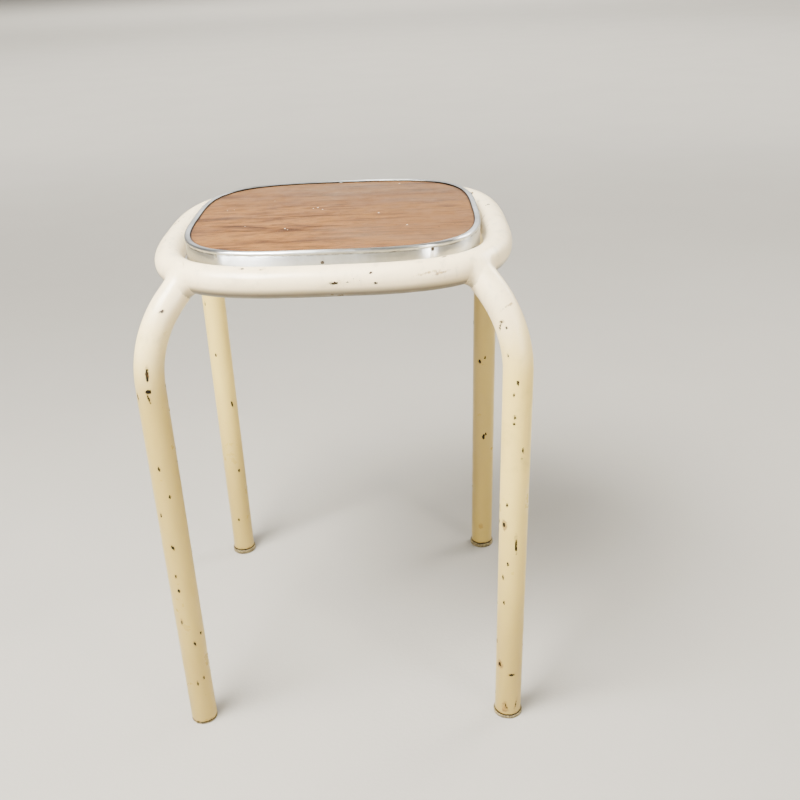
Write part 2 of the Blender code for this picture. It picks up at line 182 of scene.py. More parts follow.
def tidy_skin() -> None:
    """Merges doubled points and turns every face outwards, in edit mode."""
    bpy.ops.mesh.select_all(action="SELECT")
    bpy.ops.mesh.remove_doubles(threshold=MERGE_WITHIN)
    bpy.ops.mesh.normals_make_consistent(inside=False)
    bpy.ops.mesh.select_all(action="DESELECT")


def use_modifier(obj: bpy.types.Object, kind: str, **settings: object) -> None:
    """Adds a modifier and applies it at once.

    Args:
        obj: The object that gets it.
        kind: Blender's name for the modifier's type.
        settings: The modifier's own settings.
    """
    take(obj)
    bpy.ops.object.modifier_add(type=kind)
    modifier = obj.modifiers[-1]
    for name, value in settings.items():
        setattr(modifier, name, value)
    bpy.ops.object.modifier_apply(modifier=modifier.name)


def cut_with(obj: bpy.types.Object, cutter: bpy.types.Object) -> None:
    """Cuts one object with another, and throws the cutter away."""
    use_modifier(obj, "BOOLEAN", operation="DIFFERENCE", solver="EXACT", object=cutter)
    bpy.data.objects.remove(cutter, do_unlink=True)


def join_all(objects: Sequence[bpy.types.Object]) -> bpy.types.Object:
    """Joins several objects into the first of them."""
    take(objects[0])
    for obj in objects:
        obj.select_set(True)
    bpy.ops.object.join()
    return objects[0]


def apply_place(obj: bpy.types.Object) -> None:
    """Moves an object's place, turn and scale into its mesh."""
    take(obj)
    bpy.ops.object.transform_apply(location=True, rotation=True, scale=True)


def copy_turned(obj: bpy.types.Object, name: str, turn: Matrix) -> bpy.types.Object:
    """Copies an object with a mesh of its own, and turns the copy into place."""
    take(obj)
    bpy.ops.object.duplicate(linked=False)
    twin = added(name)
    twin.matrix_world = turn
    apply_place(twin)
    return twin


def points_of(obj: bpy.types.Object) -> np.ndarray:
    """An object's mesh points, one row each."""
    flat = np.empty(len(obj.data.vertices) * 3, np.float32)
    obj.data.vertices.foreach_get("co", flat)
    return flat.reshape(-1, 3).astype(float)


def move_points(obj: bpy.types.Object, points: np.ndarray) -> None:
    """Puts an object's mesh points at new places."""
    obj.data.vertices.foreach_set("co", points.astype(np.float32).ravel())
    obj.data.update()


def turn_up(name: str, profile: Profile, sides: int, place: Vector, ring: bool = False) -> bpy.types.Object:
    """Turns a solid about an upright axis, by extruding a circle from point to point of its profile.

    Args:
        name: The object's name.
        profile: Radius and height of each point, from the bottom's rim to the top's, or right
            round the section of a ring.
        sides: Faces in a full turn.
        place: Where the axis stands, and the height that the profile counts from.
        ring: True if the profile closes on itself, so that the solid has a hole.

    Returns:
        The turned object, with its normals outwards.
    """
    (radius, height), *rest = profile
    bpy.ops.mesh.primitive_circle_add(
        vertices=sides,
        radius=radius,
        fill_type="NOTHING" if ring else "NGON",
        location=place + Vector((0, 0, height)),
    )
    obj = added(name)
    apply_place(obj)
    with editing(obj):
        bpy.ops.mesh.select_mode(type="EDGE")
        bpy.ops.mesh.select_all(action="SELECT")
        for wider, higher in [*rest, profile[0]] if ring else rest:
            rise = {"value": (0, 0, higher - height)}
            bpy.ops.mesh.extrude_region_move(TRANSFORM_OT_translate=rise)
            share = wider / radius
            bpy.ops.transform.resize(value=(share, share, 1), center_override=place)
            radius, height = wider, higher
        tidy_skin()
    return obj


def add_torus(
    name: str, stations: int, cuts: int, sides: int, radius: float, tube: float
) -> bpy.types.Object:
    """Adds a torus about the upright axis and cuts its segments finer.

    Args:
        name: The object's name.
        stations: Segments round the axis.
        cuts: How many more times each of them is cut.
        sides: Faces round the tube.
        radius: Radius of the tube's centre line.
        tube: Radius of the tube.

    Returns:
        The torus.
    """
    bpy.ops.mesh.primitive_torus_add(
        major_segments=stations, minor_segments=sides, major_radius=radius, minor_radius=tube
    )
    obj = added(name)
    if cuts:
        cut_stations(obj, cuts, sides)
    return obj


def cut_stations(obj: bpy.types.Object, cuts: int, sides: int) -> None:
    """Cuts a torus's segments finer, along the tube only."""
    with editing(obj):
        pick_edges(lambda edge: edge.verts[0].index // sides != edge.verts[1].index // sides)
        bpy.ops.mesh.subdivide(number_cuts=cuts)
        bpy.ops.mesh.select_all(action="DESELECT")


def finish_piece(
    obj: bpy.types.Object, node: str, slot: Slot, finishes: Finishes, smooth: float = 40
) -> bpy.types.Object:
    """Dresses a finished piece and hands it to the frame in place of its node.

    Args:
        obj: The piece, in its place.
        node: The frame's node that it stands for.
        slot: The record's material slot.
        finishes: The material for each slot.
        smooth: Edges sharper than this angle in degrees stay sharp.

    Returns:
        The same piece.
    """
    apply_place(obj)
    obj.data.materials.clear()
    obj.data.materials.append(finishes[slot])
    bpy.ops.object.shade_smooth_by_angle(angle=math.radians(smooth))
    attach(obj, "root")
    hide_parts(node)
    LOG.info("%s stands for %s with %d faces", obj.name, node, len(obj.data.polygons))
    return obj


def node_box(node: str) -> tuple[Vector, Vector]:
    """Lowest and highest corner of a frame node."""
    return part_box(node)


# Lines that pieces follow


@dataclass(frozen=True)
class RoundedSquare:
    """A superellipse about the stool's upright axis, seen from above.

    Attributes:
        half: From the axis to the middle of a side.
        power: 2 is a circle, and higher values are squarer.
    """

    half: float
    power: float

    def at(self, share: np.ndarray) -> tuple[np.ndarray, np.ndarray]:
        """Finds points on the outline.

        Args:
            share: How far round the outline each point lies, anticlockwise from +X, from 0 to 1.

        Returns:
            The points (x, y), and the outward normals there.
        """
        angle = np.linspace(0, 2 * math.pi, 11521)
        x = self.half * np.sign(np.cos(angle)) * np.abs(np.cos(angle)) ** (2 / self.power)
        y = self.half * np.sign(np.sin(angle)) * np.abs(np.sin(angle)) ** (2 / self.power)
        length = np.concatenate([[0], np.cumsum(np.hypot(np.diff(x), np.diff(y)))])
        wanted = share % 1 * length[-1]
        x, y = np.interp(wanted, length, x), np.interp(wanted, length, y)
        normal = np.stack([np.sign(v) * np.abs(v) ** (self.power - 1) for v in (x, y)], axis=1)
        normal /= np.linalg.norm(normal, axis=1)[:, None]
        return np.stack([x, y], axis=1), normal

    def walk(self, count: int) -> tuple[np.ndarray, np.ndarray]:
        """Evenly spaced points round the outline, and the outward normals there."""
        return self.at(np.arange(count) / count)

    def take_shape(self, obj: bpy.types.Object, stations: int) -> None:
        """Bends a round ring or disc of the same half width to this outline.

        Args:
            obj: The ring or disc, centred on the upright axis.
            stations: How many segments it was first made with. Points in between lie on chords.
        """
        points = points_of(obj)
        share = np.arctan2(points[:, 1], points[:, 0]) / (2 * math.pi) % 1
        within = (share * stations % 1 - 0.5) * 2 * math.pi / stations
        reach = np.hypot(points[:, 0], points[:, 1]) * np.cos(within) / math.cos(math.pi / stations)
        middle, normal = self.at(share)
        points[:, :2] = middle + (reach - self.half)[:, None] * normal
        move_points(obj, points)


@dataclass(frozen=True)
class Line:
    """A chain of points in space, open or closed."""

    points: np.ndarray
    closed: bool

    @property
    def ends(self) -> tuple[np.ndarray, np.ndarray]:
        """Start and direction with length of each straight piece."""
        following = np.roll(self.points, -1, axis=0)
        steps = following - self.points
        return (self.points, steps) if self.closed else (self.points[:-1], steps[:-1])

    def distance(self, places: np.ndarray) -> tuple[np.ndarray, np.ndarray]:
        """Distance of some places from the line.

        Args:
            places: Points in space, one row each.

        Returns:
            Each place's distance, and the unit direction that leads away from the line there.
        """
        starts, steps = self.ends
        from_start = places[:, None, :] - starts[None]
        share = np.clip((from_start * steps).sum(-1) / (steps**2).sum(-1), 0, 1)
        away = from_start - share[..., None] * steps
        far = np.linalg.norm(away, axis=-1)
        best = far.argmin(axis=1)
        rows = np.arange(len(places))
        distance = far[rows, best]
        return distance, away[rows, best] / np.maximum(distance, 1e-9)[:, None]


@dataclass(frozen=True)
class TubeFrame:
    """The driving sizes of the welded frame of tube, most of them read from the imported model.

    Attributes:
        radius: Outside radius of every tube.
        wall: Thickness of the tube.
        ring: Centre line of the seat ring, from above.
        ring_height: Height of that line.
        foot: From the axis to a leg's centre line, in X and in Y.
        straight_top: Height where a leg starts to bend in.
        bend_radius: Radius of that bend.
    """

    radius: float
    wall: float
    ring: RoundedSquare
    ring_height: float
    foot: float
    straight_top: float = 0.3612
    bend_radius: float = 0.0861

    @classmethod
    def from_nodes(cls, wall: float = 0.0015, ring_power: float = 3.25) -> "TubeFrame":
        """Reads the sizes from the boxes of the ring and of one leg."""
        low, high = node_box("ring_tube")
        radius = (high.z - low.z) / 2
        foot_low, foot_high = node_box("foot_plug_front_right")
        return cls(
            radius=radius,
            wall=wall,
            ring=RoundedSquare((high.x - low.x) / 2 - radius, ring_power),
            ring_height=(low.z + high.z) / 2,
            foot=(foot_low.x + foot_high.x) / 2,
        )

    @property
    def reach(self) -> float:
        """Level distance from the axis to a leg's centre line at the floor."""
        return self.foot * math.sqrt(2)

    @property
    def ring_reach(self) -> float:
        """Level distance from the axis to the ring's centre line at a corner."""
        return self.ring.half * 2 ** (0.5 - 1 / self.ring.power)

    @property
    def bend(self) -> float:
        """How far a leg bends, so that it then runs straight to the middle of the ring's tube."""
        across = self.ring_reach - self.reach + self.bend_radius
        up = self.ring_height - self.straight_top
        return math.atan2(up, across) - math.acos(self.bend_radius / math.hypot(across, up))

    def ring_line(self, count: int = 720) -> Line:
        """Centre line of the seat ring."""
        points, _ = self.ring.walk(count)
        return Line(np.column_stack([points, np.full(count, self.ring_height)]), closed=True)

    def leg_line(self, corner: Corner, steps: int = 40) -> Line:
        """Centre line of a leg, from the floor to the middle of the ring's tube."""
        inner = self.reach - self.bend_radius
        turns = [self.bend * step / steps for step in range(steps + 1)]
        flat = [(self.reach, 0.0)]
        flat += [
            (inner + self.bend_radius * math.cos(a), self.straight_top + self.bend_radius * math.sin(a))
            for a in turns
        ]
        flat.append((self.ring_reach, self.ring_height))
        return Line(
            np.array([corner.outward * level + Vector((0, 0, high)) for level, high in flat]),
            closed=False,
        )


# Wear on the enamel


@dataclass(frozen=True)
class Mark:
    """One chip or rust spot on a tube.

    Attributes:
        along: On a leg its height above the floor, and on the ring its turn about Z in degrees.
        facing: On a leg the compass direction that it faces in degrees, where 0 is +X and -90 the
            front, and on the ring how far it lies above the outermost line, in degrees.
        length: Its half length along the tube.
        width: Its half width round the tube.
        lean: Turn of its long side from the tube's direction, in degrees.
        wear: What kind of damage it is.
    """

    along: float
    facing: float
    length: float
    width: float
    lean: float = 0.0
    wear: Wear = Wear.CHIP


@dataclass
class WearMap:
    """Writes the distance to the nearest mark into a piece's mesh, for the enamel to read.

    Attributes:
        reach: Distances are cut off at this value.
        far_side: What a mark's distance grows by, for each reach of depth below its skin.
        grime: How much the piece is darkened by grime and painted shade. At 1 a quarter of the clean paint
            shows, at 1.33 none.
        darkening_top: The height where that starts.
        darkening_fade: How far below it the piece is as dark as it gets.
        rim: Height of the glide's rim. Below it the paint has gone and rust sits; the dark band just above
            it is painted shade of the gap between the tube and the glide's cup.
        rim_shade_band: How far above the rim that painted shade is drawn as bare steel.
        rim_rust_shade_band: How far above the rim it is drawn as rust.
        front: Random chips keep to where the skin faces +Y by more than this.
        smallest: Least half width of a random chip.
        spread: How much wider the largest of them are.
        marks: The marks that were placed.
    """

    reach: float = 0.012
    far_side: float = 0.004
    grime: float = 0.0
    darkening_top: float = 0.40
    darkening_fade: float = 0.05
    rim: float = -1.0
    rim_shade_band: float = 0.0013
    rim_rust_shade_band: float = 0.0023
    front: float = -0.15
    smallest: float = 0.0007
    spread: float = 0.0012
    marks: list[tuple[Mark, np.ndarray, np.ndarray, np.ndarray]] = field(default_factory=list)

    def add(self, mark: Mark, centre: np.ndarray, along: np.ndarray, normal: np.ndarray) -> None:
        """Places a mark.

        Args:
            mark: The mark.
            centre: Where its middle lies on the tube's skin.
            along: Unit direction of the tube there.
            normal: Unit direction out of the skin there.
        """
        self.marks.append((mark, centre, along, normal))

    def scatter(self, line: Line, radius: float, count: int, seed: int) -> None:
        """Adds chips at random places on the sides of a tube that face away from the front.

        Args:
            line: The tube's centre line.
            radius: The tube's radius.
            count: How many places are tried.
            seed: Start of the random numbers, so that each run gives the same chips.
        """
        chance = np.random.default_rng(seed)
        starts, steps = line.ends
        lengths = np.linalg.norm(steps, axis=1)
        edges = np.concatenate([[0], np.cumsum(lengths)])
        for place in chance.uniform(0, edges[-1], count):
            piece = int(np.searchsorted(edges, place, side="right")) - 1
            along = steps[piece] / lengths[piece]
            middle = starts[piece] + along * (place - edges[piece])
            away = np.cross(along, chance.normal(size=3))
            away /= np.linalg.norm(away)
            size = self.smallest + self.spread * chance.random() ** 3
            mark = Mark(0, 0, size * chance.uniform(1.0, 2.4), size, chance.uniform(-40, 40))
            if away[1] > self.front:
                self.add(mark, middle + away * radius, along, away)

    def write(self, obj: bpy.types.Object) -> None:
        """Writes one attribute for each kind of wear, and one for the grime and painted shade.

        Args:
            obj: The piece.
        """
        points = points_of(obj)
        below = (self.darkening_top - points[:, 2]) / self.darkening_fade
        self.write_values(obj, GRIME_AND_SHADE, self.grime * np.clip(below, 0, 1))
        # Painted shade: a dark band of bare steel and rust just above the glide's rim stands for the
        # shadowed gap between tube and cup.
        for wear, band in ((Wear.CHIP, self.rim_shade_band), (Wear.RUST, self.rim_rust_shade_band)):
            distance = np.clip(points[:, 2] - self.rim - band, None, self.reach)
            for placed in self.marks:
                if placed[0].wear is wear:
                    distance = np.minimum(distance, self.gap(points, *placed))
            self.write_values(obj, wear.value, distance)

    def gap(
        self, points: np.ndarray, mark: Mark, centre: np.ndarray, along: np.ndarray, normal: np.ndarray
    ) -> np.ndarray:
        """How far some points lie outside a mark's oval, below 0 inside it.

        Args:
            points: The piece's mesh points.
            mark: The mark.
            centre: Where its middle lies on the tube's skin.
            along: Unit direction of the tube there.
            normal: Unit direction out of the skin there.

        Returns:
            One distance for each point. It grows for points on the tube's other side.
        """
        lean = math.radians(mark.lean)
        across = np.cross(normal, along)
        main = math.cos(lean) * along + math.sin(lean) * across
        side = np.cross(normal, main)
        offset = points - centre
        oval = np.hypot(offset @ main / mark.length, offset @ side / mark.width)
        behind = np.abs(offset @ normal) / self.reach
        return (oval - 1) * min(mark.length, mark.width) + behind * self.far_side

    @staticmethod
    def write_values(obj: bpy.types.Object, name: str, values: np.ndarray) -> None:
        """Writes one number for each mesh point into a new attribute."""
        attribute = obj.data.attributes.new(name, "FLOAT", "POINT")
        attribute.data.foreach_set("value", values.astype(np.float32))


# Finishes

Socket = bpy.types.NodeSocket
Value = Socket | float | tuple


def rgb(red: int, green: int, blue: int) -> tuple[float, float, float, float]:
    """A colour given as it shows on a screen, from 0 to 255, turned into light values."""
    shares = [channel / 255 for channel in (red, green, blue)]
    return (*[s / 12.92 if s <= 0.04045 else ((s + 0.055) / 1.055) ** 2.4 for s in shares], 1.0)


class NodeBoard:
    """Lays out one material's nodes. Each method adds a node and returns its output."""

    def __init__(self, name: str) -> None:
        """Starts a material with a Principled shader."""
        self.material = bpy.data.materials.new(name)
        self.material.use_nodes = True
        self.tree = self.material.node_tree
        self.shader = self.tree.nodes["Principled BSDF"]

    def add(
        self, kind: str, inputs: dict[str | int, Value], output: str | int = 0, **settings: object
    ) -> Socket:
        """Adds a node.

        Args:
            kind: The node's type, without its leading ShaderNode.
            inputs: A link or a value for each named or numbered input.
            output: Which output to return.
            settings: The node's own settings.

        Returns:
            The output.
        """
        node = self.tree.nodes.new("ShaderNode" + kind)
        for name, value in settings.items():
            setattr(node, name, value)
        for name, value in inputs.items():
            self.put(node.inputs[name], value)
        return node.outputs[output]

    def put(self, target: Socket, value: Value) -> None:
        """Links an output to an input, or sets the input's value."""
        if isinstance(value, bpy.types.NodeSocket):
            self.tree.links.new(value, target)
        else:
            target.default_value = value

    def dress(self, **inputs: Value) -> bpy.types.Material:
        """Sets the shader's inputs, written with underscores for spaces.

        Returns:
            The material.
        """
        for name, value in inputs.items():
            self.put(self.shader.inputs[name.replace("_", " ").title().replace("Ior", "IOR")], value)
        return self.material

    def place(self, scale: tuple[float, float, float] = (1, 1, 1), turn: float = 0.0) -> Socket:
        """Object coordinates, stretched and turned about Z by an angle in degrees."""
        spot = self.add("TexCoord", {}, "Object")
        angle = (0, 0, math.radians(turn))
        return self.add("Mapping", {"Vector": spot, "Scale": scale, "Rotation": angle})

    def attribute(self, name: str) -> Socket:
        """A value that is written in the mesh."""
        return self.add("Attribute", {}, "Fac", attribute_name=name)

    def noise(
        self, vector: Socket, scale: float, detail: float = 4, rough: float = 0.55, warp: float = 0
    ) -> Socket:
        """Cloudy noise between 0 and 1."""
        inputs = {"Vector": vector, "Scale": scale, "Detail": detail, "Roughness": rough, "Distortion": warp}
        return self.add("TexNoise", inputs)

    def cells(self, vector: Socket, scale: float, random: float = 1.0) -> Socket:
        """Distance from the nearest of many scattered points."""
        inputs = {"Vector": vector, "Scale": scale, "Randomness": random}
        return self.add("TexVoronoi", inputs, "Distance")

    def between(self, value: Socket, low: float, high: float, to: tuple[float, float] = (0, 1)) -> Socket:
        """Maps a value's range smoothly onto another one."""
        inputs = {"Value": value, "From Min": low, "From Max": high, "To Min": to[0], "To Max": to[1]}
        return self.add("MapRange", inputs, interpolation_type="SMOOTHSTEP", clamp=True)

    def maths(self, operation: str, first: Value, second: Value = 0.0) -> Socket:
        """One sum on two values."""
        return self.add("Math", {0: first, 1: second}, operation=operation)

    def mix(self, share: Value, first: Value, second: Value) -> Socket:
        """Mixes two colours."""
        return self.add("Mix", {0: share, 6: first, 7: second}, 2, data_type="RGBA")

    def ramp(self, value: Socket, stops: Sequence[tuple[float, tuple]]) -> Socket:
        """Colours along a scale from 0 to 1."""
        socket = self.add("ValToRGB", {"Fac": value})
        scale = socket.node.color_ramp
        for place, colour in stops[1:-1]:
            scale.elements.new(place).color = colour
        for end in (0, -1):
            place, colour = stops[end]
            scale.elements[end].position = place
            scale.elements[end].color = colour
        return socket

    def bump(self, height: Socket, depth: float, over: Socket | None = None) -> Socket:
        """Raises and lowers the surface by a height between 0 and 1 times a depth."""
        inputs: dict[str | int, Value] = {"Height": height, "Distance": depth, "Strength": 1.0}
        if over is not None:
            inputs["Normal"] = over
        return self.add("Bump", inputs)

    def axis(self, name: str) -> Socket:
        """One of the object coordinates X, Y and Z."""
        spot = self.add("TexCoord", {}, "Object")
        return self.add("SeparateXYZ", {"Vector": spot}, name)


@dataclass(frozen=True)
class ChippedEnamel:
    """Cream enamel on steel tube, brushed thick, paler on the ring partly as painted light, yellowed down
    the legs, darkened underneath as painted shade, chipped and rusting in places.

    Attributes:
        top: Colour of the paint on the seat ring, paler and less yellow than the legs', partly as painted
            light standing in for the ring's stronger light.
        legs: Colour of the paint down the legs.
        leg_grime_and_shade: Colour of the legs' dirt, and of the painted shade towards the floor and below
            the bends.
        ring_grime_and_shade: Colour of the painted shade under the ring, and of the ring's dirt.
        bare: Colour of the steel in a chip.
        rust: Colour of the rust in and round it.
        stain: Colour that the rust gives the paint.
        fade: Heights between which the paint turns from the ring's colour to the legs'.
        gloss: Roughness of the clean paint.
        paint: Thickness of the paint.
    """

    top: tuple = (0.84, 0.68, 0.40, 1)
    legs: tuple = (0.80, 0.585, 0.145, 1)
    leg_grime_and_shade: tuple = (0.34, 0.230, 0.048, 1)
    ring_grime_and_shade: tuple = (0.14, 0.108, 0.06, 1)
    bare: tuple = (0.012, 0.009, 0.006, 1)
    rust: tuple = (0.13, 0.055, 0.012, 1)
    stain: tuple = (0.36, 0.21, 0.035, 1)
    fade: tuple[float, float] = (0.445, 0.34)
    gloss: float = 0.32
    paint: float = 0.00022

    def make(self, name: str = "chipped_cream_enamel") -> bpy.types.Material:
        """Makes the material, which reads the wear, and the grime and painted shade, that a WearMap writes.
        """
        board = NodeBoard(name)
        spot = board.place()

        uneven = board.between(board.noise(spot, 16, 4, 0.6), 0.3, 0.7, (-0.012, 0.012))
        height = board.maths("ADD", board.axis("Z"), uneven)
        # Partly painted light: the ring and the top of the bend take a paler, less yellow colour for their
        # stronger light, and the legs below keep the yellower paint.
        down = board.between(height, *self.fade)
        paint = board.mix(down, self.top, self.legs)
        # Darkening: the mesh's grime attribute (painted shade under the ring, darker legs below the bends),
        # random dirt and smears, and painted shade towards the floor.
        grimed_and_shaded = board.maths("MULTIPLY", board.attribute(GRIME_AND_SHADE), 0.75)
        aged = board.between(board.noise(spot, 30, 6, 0.66, 0.5), 0.5, 0.8, (0, 0.34))
        # Painted shade: the legs are painted darker towards the floor, where less light reaches.
        floor_shade = board.between(height, 0.30, 0.05, (0, 0.75))
        smears = board.noise(board.place((90, 90, 7)), 1.0, 5, 0.65)
        smears = board.between(smears, 0.52, 0.74, (0, 0.3))
        for dirt_and_shade in (aged, floor_shade, smears):
            grimed_and_shaded = board.maths("MAXIMUM", grimed_and_shaded, dirt_and_shade)
        paint = board.mix(grimed_and_shaded, paint, board.mix(down, self.ring_grime_and_shade, self.leg_grime_and_shade))

        ragged = board.noise(spot, 620, 4, 0.75)
        shift = board.between(ragged, 0.3, 0.7, (-0.0005, 0.0004))
        edge = board.maths("ADD", board.attribute(Wear.CHIP.value), shift)
        bare = board.between(edge, -0.00006, 0.00008, (1, 0))

        dust = board.cells(spot, 230)
        sparse = board.between(board.noise(spot, 34, 3), 0.6, 0.7)
        pits = board.maths("MULTIPLY", board.between(dust, 0.06, 0.09, (1, 0)), sparse)
        bare = board.maths("MAXIMUM", bare, pits)

        drift = board.between(board.noise(spot, 240, 5, 0.75), 0.25, 0.75, (-0.0012, 0.0012))
        far = board.maths("ADD", board.attribute(Wear.RUST.value), drift)
        soaked = board.between(far, -0.0006, 0.0008, (0.85, 0))
        halo = board.between(edge, 0.0, 0.0013, (0.55, 0))
        halo = board.maths("MULTIPLY", halo, board.between(board.noise(spot, 60, 3), 0.45, 0.62))
        stained = board.maths("MAXIMUM", soaked, halo)
        tone = board.mix(board.between(board.noise(spot, 300, 4), 0.42, 0.66), self.stain, self.rust)
        paint = board.mix(stained, paint, tone)

        metal = board.mix(board.between(board.noise(spot, 330, 4, 0.7), 0.55, 0.8), self.bare, self.rust)
        colour = board.mix(bare, paint, metal)

        matt = board.between(board.noise(spot, 55, 4, 0.6), 0.3, 0.75, (self.gloss - 0.05, self.gloss + 0.1))
        matt = board.maths("MAXIMUM", matt, board.maths("MULTIPLY", bare, 0.85))
        matt = board.maths("MAXIMUM", matt, board.maths("MULTIPLY", stained, 0.6))

        sags = board.bump(board.noise(spot, 46, 2, 0.4), 0.0009)
        peel = board.bump(board.noise(spot, 300, 3, 0.5), 0.00006, over=sags)
        skin = board.bump(board.maths("SUBTRACT", 1.0, bare), self.paint, over=peel)
        grit = board.maths("MULTIPLY", board.noise(spot, 900, 3, 0.7), board.maths("MAXIMUM", bare, stained))
        skin = board.bump(grit, 0.00016, over=skin)
        sheen = board.mix(bare, (1, 1, 1, 1), (0.08, 0.07, 0.06, 1))
        glaze = board.between(bare, 0, 1, (0.15, 0))
        return board.dress(
            base_color=colour,
            roughness=matt,
            normal=skin,
            specular_tint=sheen,
            coat_weight=glaze,
            coat_roughness=0.2,
        )


@dataclass(frozen=True)
class SatinAluminium:
    """Rolled aluminium edging with fine lines along it, handling marks, and dirt and painted shade in its
    groove and on its lip's inner face.

    Attributes:
        metal: Colour of the clean metal.
        dull: Colour of its dull patches.
        dirt_and_shade: Colour of the dirt and painted shade in the groove and on the lip's inner face, and
            of the darker patches low on the band.
        top: Height of the bead's top.
        groove_drop: How far below it the groove lies.
    """

    metal: tuple = rgb(218, 219, 217)
    dull: tuple = rgb(186, 186, 178)
    dirt_and_shade: tuple = (0.035, 0.028, 0.020, 1)
    top: float = 0.4626
    groove_drop: float = 0.0034

    def make(self, name: str = "satin_aluminium_edging") -> bpy.types.Material:
        """Makes the material. Its lines run level round the seat."""
        board = NodeBoard(name)
        spot = board.place()
        drawn = board.noise(board.place((6, 6, 1500)), 1.0, 5, 0.65)
        hazy = board.between(board.noise(spot, 26, 5, 0.6), 0.38, 0.72)
        colour = board.mix(hazy, self.metal, self.dull)
        height = board.axis("Z")
        above = board.maths("SUBTRACT", self.top - self.groove_drop, height)
        # Dirt and painted shade: a dark line in the groove under the bead.
        near = board.between(board.maths("ABSOLUTE", above), 0.0002, 0.0011, (0.55, 0))
        patchy = board.between(board.noise(spot, 120, 4, 0.6), 0.35, 0.65)
        grime = board.maths("MULTIPLY", near, patchy)
        # Darker patches towards the band's lower edge.
        low = board.between(height, self.top - 0.0165, self.top - 0.0105, (0.6, 0))
        grime = board.maths("MAXIMUM", grime, board.maths("MULTIPLY", low, patchy))
        # Dirt and painted shade on the lip's inner face, read from the mesh.
        grime = board.maths("MAXIMUM", grime, board.attribute(GRIME_AND_SHADE))
        nicks = board.between(board.cells(board.place((1, 1, 2.2)), 160), 0.05, 0.09, (0.7, 0))
        nicks = board.maths("MULTIPLY", nicks, board.between(board.noise(spot, 40, 2), 0.56, 0.64))
        grime = board.maths("MAXIMUM", grime, nicks)
        colour = board.mix(grime, colour, self.dirt_and_shade)
        matt = board.between(hazy, 0, 1, (0.30, 0.40))
        matt = board.maths("MAXIMUM", matt, board.maths("MULTIPLY", grime, 0.8))
        skin = board.bump(drawn, 0.00003)
        skin = board.bump(board.noise(spot, 24, 2, 0.4), 0.0005, over=skin)
        skin = board.bump(board.maths("SUBTRACT", 1.0, nicks), 0.0001, over=skin)
        round_axis = board.add("Tangent", {}, direction_type="RADIAL", axis="Z")
        return board.dress(
            base_color=colour,
            roughness=matt,
            normal=skin,
            metallic=1.0,
            anisotropic=0.95,
            anisotropic_rotation=0.25,
            tangent=round_axis,
        )


